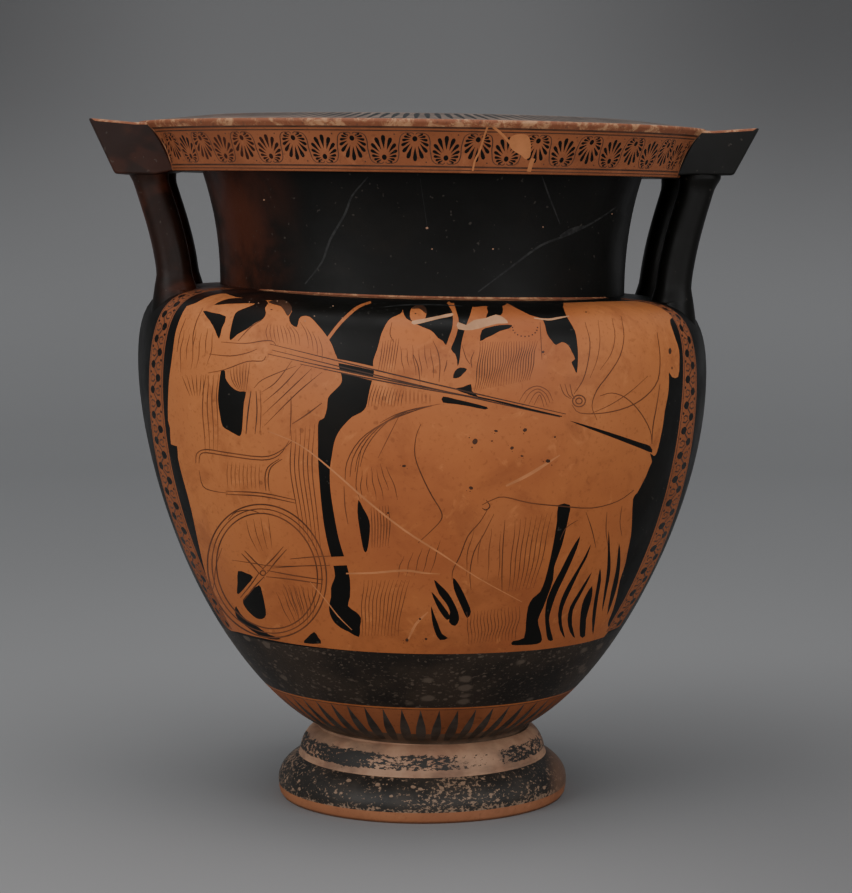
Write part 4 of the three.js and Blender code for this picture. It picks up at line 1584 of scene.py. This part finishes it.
BLACK_COLOUR = (0.0042, 0.0038, 0.0030)
BLACK_THIN = (0.0105, 0.0072, 0.0046)
BLACK_SPECK = (0.10, 0.085, 0.07)
MISFIRED_RED = (0.064, 0.0175, 0.0085)
LOW_BAND = (0.0150, 0.0108, 0.0080)
LOW_BAND_RUBBED = (0.0370, 0.0250, 0.0170)
LOW_BAND_PIT = (0.112, 0.082, 0.060)
STEP_BLACK = (0.017, 0.0145, 0.012)
STEP_GREY = (0.036, 0.029, 0.023)
STEP_FLAKE = (0.25, 0.160, 0.105)
STEP_BARE = (0.165, 0.085, 0.050)
COLLAR_PINK = (0.385, 0.225, 0.140)
COLLAR_SHADE = (0.275, 0.145, 0.090)
COLLAR_STAIN = (0.135, 0.085, 0.060)
COLLAR_BLACK = (0.026, 0.023, 0.020)
EDGE_BROWN = (0.235, 0.078, 0.036)
EDGE_PALE = (0.46, 0.235, 0.120)
EDGE_HOLLOW = (0.11, 0.050, 0.030)
CLAY_COLOUR = (0.435, 0.134, 0.040)
CLAY_DARK = (0.345, 0.097, 0.031)
CLAY_PALE = (0.53, 0.190, 0.063)
CLAY_PAINTED_LIGHT = (0.55, 0.192, 0.058)


def shade_black(k, shader):
    """Gloss that fired black, brown where it is thin and red on the left."""
    thin = k.ramp(k.noise(14, 4, 0.6, warp=0.4), 0.50, 0.72)
    colour = k.mix(k.math("MULTIPLY", thin, 0.5), BLACK_COLOUR, BLACK_THIN)
    left = k.ramp(k.axis("X"), -0.130, -0.078, 1.0, 0.0)
    up = k.ramp(k.axis("Z"), 0.345, 0.372)
    cloud = k.ramp(k.noise(13, 4, 0.65, warp=0.8), 0.28, 0.60)
    misfired = k.math("MULTIPLY", k.math("MULTIPLY", left, up), cloud)
    handle = k.ramp(k.axis("X"), -0.160, -0.152, 1.0, 0.0)
    patch = k.ramp(k.noise(24, 3, 0.6, warp=0.6), 0.42, 0.62, 0.75, 0.0)
    plate = k.ramp(k.axis("Z"), 0.436, 0.446, 0.0, 0.45)
    spared = k.math("MULTIPLY", handle, k.math("MAXIMUM", patch, plate))
    misfired = k.math("MULTIPLY", misfired, k.math("SUBTRACT", 1.0, spared))
    colour = k.mix(misfired, colour, MISFIRED_RED)
    specks = k.ramp(k.noise(330, 1, 0.4), 0.745, 0.765)
    colour = k.mix(k.math("MULTIPLY", specks, 0.35), colour, BLACK_SPECK)
    k.t.links.new(colour, shader.inputs["Base Color"])
    k.t.links.new(k.ramp(k.noise(30, 3), 0.3, 0.7, 0.36, 0.50), shader.inputs["Roughness"])
    shader.inputs["Specular IOR Level"].default_value = 0.18
    k.bump(shader, k.noise(60, 3), 0.14, 0.0015)


def shade_low_black(k, shader):
    """The black band under the picture, rubbed brown and pitted all over."""
    along = k.flat(1.7)
    cloud = k.ramp(k.noise(16, 4, 0.6), 0.40, 0.65)
    ground = k.mix(cloud, LOW_BAND, LOW_BAND_RUBBED)
    patch = k.ramp(k.noise(17, 3, 0.6), 0.36, 0.58)
    small = k.math("MULTIPLY", k.spots(270, 0.46, 0.62, along), patch)
    large = k.math("MULTIPLY", k.spots(82, 0.46, 0.62, along, 0.15), 0.75)
    specks = k.math("MULTIPLY", k.ramp(k.noise(420, 2, 0.5, along), 0.62, 0.68), 0.6)
    wear = k.math("MAXIMUM", k.math("MAXIMUM", k.math("MULTIPLY", small, 0.75), large), specks)
    colour = k.mix(wear, ground, LOW_BAND_PIT)
    k.t.links.new(colour, shader.inputs["Base Color"])
    shader.inputs["Roughness"].default_value = 0.45
    shader.inputs["Specular IOR Level"].default_value = 0.25
    k.bump(shader, k.math("SUBTRACT", k.noise(70, 3), k.math("MULTIPLY", wear, 0.6)), 0.2, 0.0012)


def shade_foot_black(k, shader):
    """The worn, greyish black of the foot's rounded step, with clay in its pits."""
    along = k.flat(1.5)
    ground = k.mix(k.ramp(k.noise(40, 4, 0.65), 0.35, 0.65), STEP_BLACK, STEP_GREY)
    low = k.ramp(k.axis("Z"), 0.0085, 0.0125, 1.0, 0.0)
    left = k.ramp(k.axis("X"), -0.095, -0.055, 1.0, 0.0)
    more = k.math("MAXIMUM", k.math("MULTIPLY", low, 0.085), k.math("MULTIPLY", left, 0.05))
    coarse = k.math("MULTIPLY", k.noise(30, 3), 0.35)
    fine = k.math("ADD", k.math("ADD", k.noise(360, 4, 0.7, along), coarse), more)
    flake = k.math("MAXIMUM", k.ramp(fine, 0.77, 0.80), k.spots(205, 0.42, 0.34, along))
    colour = k.mix(flake, ground, STEP_FLAKE)
    right = k.ramp(k.axis("X"), 0.084, 0.096)
    colour = k.mix(k.math("MULTIPLY", right, 0.75), colour, STEP_BARE)
    k.t.links.new(colour, shader.inputs["Base Color"])
    shader.inputs["Roughness"].default_value = 0.5
    shader.inputs["Specular IOR Level"].default_value = 0.3
    k.bump(shader, k.math("SUBTRACT", k.noise(90, 3), flake), 0.25, 0.0008)


def shade_clay(base, dark, pale, rough=0.5, gloss=0.3, lit=None):
    """Reserved clay, clouded and stained; the lit colour is painted light over the picture's upper left and
    right.
    """
    def shade(k, shader):
        colour = k.mix(k.ramp(k.noise(8, 5, 0.6, warp=0.4), 0.38, 0.66), base, dark)
        light = k.ramp(k.noise(5, 4, 0.6, warp=0.5), 0.48, 0.75)
        colour = k.mix(k.math("MULTIPLY", light, 0.7), colour, pale)
        # Painted light: the clay is painted paler over the picture's upper left and upper right.
        if lit:
            left = k.ramp(k.axis("X"), -0.155, -0.045, 1.0, 0.0)
            high = k.ramp(k.axis("Z"), 0.130, 0.230)
            colour = k.mix(k.math("MULTIPLY", k.math("MULTIPLY", left, high), 0.6), colour, lit)
            right = k.math("MULTIPLY", k.ramp(k.axis("X"), 0.070, 0.110), k.ramp(k.axis("Z"), 0.225, 0.280))
            colour = k.mix(k.math("MULTIPLY", right, 0.5), colour, lit)
        cloud = k.ramp(k.noise(26, 5, 0.7, warp=0.4), 0.47, 0.70)
        colour = k.mix(k.math("MULTIPLY", cloud, 0.55), colour, tuple(v * 0.78 for v in dark))
        rubbed = k.ramp(k.noise(52, 4, 0.65, warp=0.8), 0.58, 0.72)
        brighter = tuple(min(1.0, v * 1.15) for v in pale)
        colour = k.mix(k.math("MULTIPLY", rubbed, 0.4), colour, brighter)
        stains = k.math("MULTIPLY", k.spots(190, 0.34, 0.30), k.ramp(k.noise(13, 3), 0.52, 0.66))
        colour = k.mix(k.math("MULTIPLY", stains, 0.45), colour, tuple(v * 0.35 for v in dark))
        grain = k.ramp(k.noise(380, 2), 0.58, 0.72)
        colour = k.mix(k.math("MULTIPLY", grain, 0.35), colour, tuple(v * 0.6 for v in dark))
        k.t.links.new(colour, shader.inputs["Base Color"])
        k.t.links.new(k.ramp(k.noise(22, 3), 0.3, 0.7, rough - 0.06, rough + 0.1), shader.inputs["Roughness"])
        shader.inputs["Specular IOR Level"].default_value = gloss
        k.bump(shader, k.noise(130, 4), 0.10, 0.001)
    return shade


def shade_plain(colour, spread=0.25, rough=0.6, scale=60):
    """One paint with a little unevenness."""
    def shade(k, shader):
        dim = tuple(v * (1 - spread) for v in colour)
        lit = tuple(v * (1 + spread) for v in colour)
        uneven = k.mix(k.ramp(k.noise(scale, 4, 0.6), 0.35, 0.65), dim, lit)
        k.t.links.new(uneven, shader.inputs["Base Color"])
        shader.inputs["Roughness"].default_value = rough
        shader.inputs["Specular IOR Level"].default_value = 0.3
        k.bump(shader, k.noise(scale * 4, 3), 0.12, 0.0006)
    return shade


def shade_worn(k, shader):
    """Collar of the foot: pinkish clay with a flaking black band that is nearly gone right of the middle."""
    along = k.flat(2.2)
    clay = k.mix(k.ramp(k.noise(40, 4, 0.6), 0.35, 0.65), COLLAR_PINK, COLLAR_SHADE)
    stain = k.math("MULTIPLY", k.ramp(k.noise(26, 4, 0.6, along), 0.46, 0.66), 0.55)
    clay = k.mix(stain, clay, COLLAR_STAIN)
    over, under = k.ramp(k.axis("Z"), 0.0320, 0.0345), k.ramp(k.axis("Z"), 0.0415, 0.0465, 1.0, 0.0)
    band = k.math("MULTIPLY", over, under)
    from_left = k.ramp(k.axis("X"), 0.010, 0.028, 0.0, 0.17)
    from_right = k.ramp(k.axis("X"), 0.046, 0.056, 1.0, 0.25)
    bare = k.math("MULTIPLY", from_left, from_right)
    fine = k.math("ADD", k.noise(250, 5, 0.72, along), k.math("MULTIPLY", k.noise(24, 3, 0.5), 0.42))
    fine = k.math("SUBTRACT", k.math("SUBTRACT", fine, bare), k.ramp(band, 0.0, 1.0, 0.25, 0.0))
    flake = k.ramp(fine, 0.655, 0.69)
    colour = k.mix(flake, clay, COLLAR_BLACK)
    k.t.links.new(colour, shader.inputs["Base Color"])
    shader.inputs["Roughness"].default_value = 0.6
    shader.inputs["Specular IOR Level"].default_value = 0.3
    k.bump(shader, flake, 0.2, 0.0006)


def shade_edge(k, shader):
    """Worn reserved edges: pale rubbed patches and brown left in the hollows."""
    rubbed = k.ramp(k.noise(105, 5, 0.72, warp=0.5), 0.46, 0.62)
    colour = k.mix(rubbed, EDGE_BROWN, EDGE_PALE)
    hollows = k.ramp(k.noise(260, 2), 0.60, 0.68)
    colour = k.mix(k.math("MULTIPLY", hollows, 0.5), colour, EDGE_HOLLOW)
    k.t.links.new(colour, shader.inputs["Base Color"])
    shader.inputs["Roughness"].default_value = 0.6
    shader.inputs["Specular IOR Level"].default_value = 0.3
    k.bump(shader, k.noise(160, 4), 0.2, 0.0008)


FINISHES = [
    ("black_gloss", shade_black),
    ("clay", shade_clay(CLAY_COLOUR, CLAY_DARK, CLAY_PALE, lit=CLAY_PAINTED_LIGHT)),
    ("thin_line", shade_plain((0.120, 0.038, 0.014), 0.3, 0.5, 40)),
    ("worn_collar", shade_worn),
    ("rim_top", shade_plain((0.125, 0.088, 0.068), 0.3, 0.55, 45)),
    ("old_repair", shade_plain((0.475, 0.178, 0.068), 0.12, 0.65, 60)),
    ("plaster", shade_plain((0.47, 0.245, 0.130), 0.15, 0.7, 50)),
    ("inside", shade_plain((0.010, 0.0082, 0.0065), 0.4, 0.45, 18)),
    ("underside", shade_plain((0.30, 0.125, 0.060), 0.2, 0.75, 30)),
    ("border_clay", shade_clay(
        (0.315, 0.104, 0.044), (0.24, 0.076, 0.032), (0.35, 0.125, 0.054), 0.65, 0.12)),
    ("rim_clay", shade_clay((0.315, 0.106, 0.045), (0.26, 0.082, 0.034), (0.36, 0.132, 0.058), 0.55, 0.2)),
    ("rim_line", shade_plain((0.075, 0.030, 0.016), 0.3, 0.5, 60)),
    ("neck_crack", shade_plain((0.0165, 0.0160, 0.0150), 0.6, 0.6, 170)),
    ("dark_wash", shade_plain((0.085, 0.052, 0.034), 0.35, 0.5, 60)),
    ("worn_edge", shade_edge),
    ("dark_spot", shade_plain((0.055, 0.022, 0.011), 0.3, 0.5, 90)),
    ("low_black", shade_low_black),
    ("foot_black", shade_foot_black),
    ("foot_clay", shade_clay((0.345, 0.138, 0.062), (0.285, 0.108, 0.050), (0.39, 0.170, 0.088), 0.55)),
    ("ray_black", shade_plain((0.046, 0.037, 0.030), 0.4, 0.5, 70)),
]


def make_materials():
    made = []
    for name, shade in FINISHES:
        material, tree, shader = new_material(name)
        shade(Nodes(tree), shader)
        made.append(material)
    return made


# Assembly

def assemble():
    xyz, tris, code, normals = build_vessel()
    all_xyz = [xyz]
    faces = [tuple(int(i) for i in f) for f in tris]
    codes = list(code)
    all_normals = [normals]
    at = len(xyz)
    extra = [build_plate(s) for s in (-1, 1)] + [build_column(s, r) for s in (-1, 1) for r in (-1, 1)]
    for points, fs, paints in extra:
        points = sagged(points)
        all_normals.append(soft_normals(points, fs))
        all_xyz.append(points)
        faces += [tuple(at + i for i in f) for f in fs]
        codes += paints
        at += len(points)
    mesh = bpy.data.meshes.new("krater_painted")
    mesh.from_pydata((np.vstack(all_xyz) * MM).tolist(), [], faces)
    for material in make_materials():
        mesh.materials.append(material)
    mesh.polygons.foreach_set("material_index", np.array(codes, np.int32))
    mesh.polygons.foreach_set("use_smooth", np.ones(len(faces), bool))
    mesh.normals_split_custom_set([tuple(n) for n in np.vstack(all_normals).tolist()])
    mesh.update()
    pot = bpy.data.objects.new("krater_painted", mesh)
    bpy.context.scene.collection.objects.link(pot)
    return pot


krater = assemble()
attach(krater, "root")
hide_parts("krater")
triangle_count = sum(len(p.vertices) - 2 for p in krater.data.polygons)
print("triangles", triangle_count, "valid", not krater.data.validate(verbose=False))

# Floor and backdrop

FLOOR_SECTION = [
    (0.0, 0.0), (1.0, 0.0), (2.2, 0.0), (2.6, 0.03), (2.9, 0.12), (3.15, 0.3), (3.3, 0.6), (3.35, 1.0),
    (3.35, 1.7)]
NEAR_GREY = (0.258, 0.256, 0.257)
FAR_PAINTED_LIGHT = (0.335, 0.332, 0.334)
WALL_PAINTED_SHADE = (0.262, 0.259, 0.260)
CORNER_PAINTED_SHADE = (0.160, 0.158, 0.159)
RIGHT_PAINTED_SHADE = (0.190, 0.188, 0.189)


def sweep():
    """A round pale floor that curves up into a wall on all sides, in metres; its grey holds painted light and
    shade: lighter far out, darker up the wall, in the back corners and near the pot on its right.
    """
    around = 96
    verts = [(0.0, 0.0, 0.0)]
    for r, z in FLOOR_SECTION[1:]:
        for k in range(around):
            a = 2 * math.pi * k / around
            verts.append((r * math.cos(a), r * math.sin(a), z))
    faces = []
    for k in range(around):
        n = (k + 1) % around
        faces.append((0, 1 + k, 1 + n))
        for j in range(len(FLOOR_SECTION) - 2):
            a, b = 1 + j * around + k, 1 + j * around + n
            faces.append((a, a + around, b + around, b))
    mesh = bpy.data.meshes.new("floor")
    mesh.from_pydata(verts, [], faces)
    mesh.polygons.foreach_set("use_smooth", [True] * len(faces))
    paper_painted_light, tree, shader = new_material("paper_painted_light")
    k = Nodes(tree)
    reach = tree.nodes.new("ShaderNodeVectorMath")
    reach.operation = "LENGTH"
    tree.links.new(k.co, reach.inputs[0])
    # Painted light: the floor is painted lighter from 1 m out to the foot of the wall.
    colour = k.mix(k.ramp(reach.outputs["Value"], 1.0, 2.7), NEAR_GREY, FAR_PAINTED_LIGHT)
    # Painted shade: the grey is painted darker up the wall.
    colour = k.mix(k.ramp(k.axis("Z"), 0.10, 0.85), colour, WALL_PAINTED_SHADE)
    # Painted shade: the back wall is painted darker towards its sides and higher up.
    aside = k.ramp(k.math("ABSOLUTE", k.axis("X")), 0.20, 0.90)
    behind = k.ramp(k.axis("Y"), 0.6, 1.6)
    corner = k.math("MULTIPLY", k.math("MULTIPLY", aside, behind), k.ramp(k.axis("Z"), 0.15, 0.85))
    colour = k.mix(corner, colour, CORNER_PAINTED_SHADE)
    # Painted shade: the floor to the right of the pot, within about a metre of it, is painted darker.
    right = k.math("MULTIPLY", k.ramp(k.axis("X"), 0.0, 0.30), k.ramp(k.axis("Y"), 0.0, 0.60, 1.0, 0.0))
    near = k.ramp(reach.outputs["Value"], 0.8, 1.3, 0.95, 0.0)
    colour = k.mix(k.math("MULTIPLY", right, near), colour, RIGHT_PAINTED_SHADE)
    tree.links.new(colour, shader.inputs["Base Color"])
    shader.inputs["Roughness"].default_value = 0.9
    shader.inputs["Specular IOR Level"].default_value = 0.1
    mesh.materials.append(paper_painted_light)
    ground = bpy.data.objects.new("floor", mesh)
    bpy.context.scene.collection.objects.link(ground)
    return ground


floor = sweep()

# Light and camera

def area_light(name, place, target, size, power):
    data = bpy.data.lights.new(name, "AREA")
    data.shape = "RECTANGLE"
    data.size, data.size_y = size
    data.energy = power
    lamp = bpy.data.objects.new(name, data)
    lamp.location = place
    lamp.rotation_mode = "QUATERNION"
    lamp.rotation_quaternion = (Vector(target) - Vector(place)).to_track_quat("-Z", "Y")
    bpy.context.scene.collection.objects.link(lamp)


# Name, place, target, width and height in metres, power in watts
SOFT_LIGHTS = [
    ("top_soft", (0.0, -0.2, 2.4), (0, 0, 0.2), (2.2, 1.8), 30),
    ("left_soft", (-1.9, -1.7, 1.1), (0, 0, 0.2), (1.6, 1.9), 31),
    ("right_soft", (1.9, -1.7, 1.0), (0, 0, 0.2), (1.6, 1.9), 20),
    ("front_low", (0.0, -2.5, 0.75), (0, 0, 0.15), (2.4, 0.9), 14)]
ROOM_COLOUR = (0.9, 0.95, 1.0, 1)
ROOM_STRENGTH = 0.35
SENSOR_WIDTH = 36.0

for light in SOFT_LIGHTS:
    area_light(*light)

world = bpy.data.worlds.new("soft_room")
world.use_nodes = True
room = world.node_tree.nodes["Background"]
room.inputs[0].default_value = ROOM_COLOUR
room.inputs[1].default_value = ROOM_STRENGTH
bpy.context.scene.world = world

cam_data = bpy.data.cameras.new("view")
cam = bpy.data.objects.new("view", cam_data)
bpy.context.scene.collection.objects.link(cam)
cam_data.sensor_width = SENSOR_WIDTH
cam_data.lens = SENSOR_WIDTH * VIEW_FOCAL / VIEW_TALL
cam_data.shift_x = (VIEW_WIDTH / 2 - AXIS_PIXEL) / VIEW_TALL
cam.location = Vector(EYE.tolist()) * MM
cam.rotation_mode = "QUATERNION"
cam.rotation_quaternion = Vector(LOOK.tolist()).to_track_quat("-Z", "Y")
cam_data.clip_start, cam_data.clip_end = 0.05, 50
bpy.context.scene.camera = cam
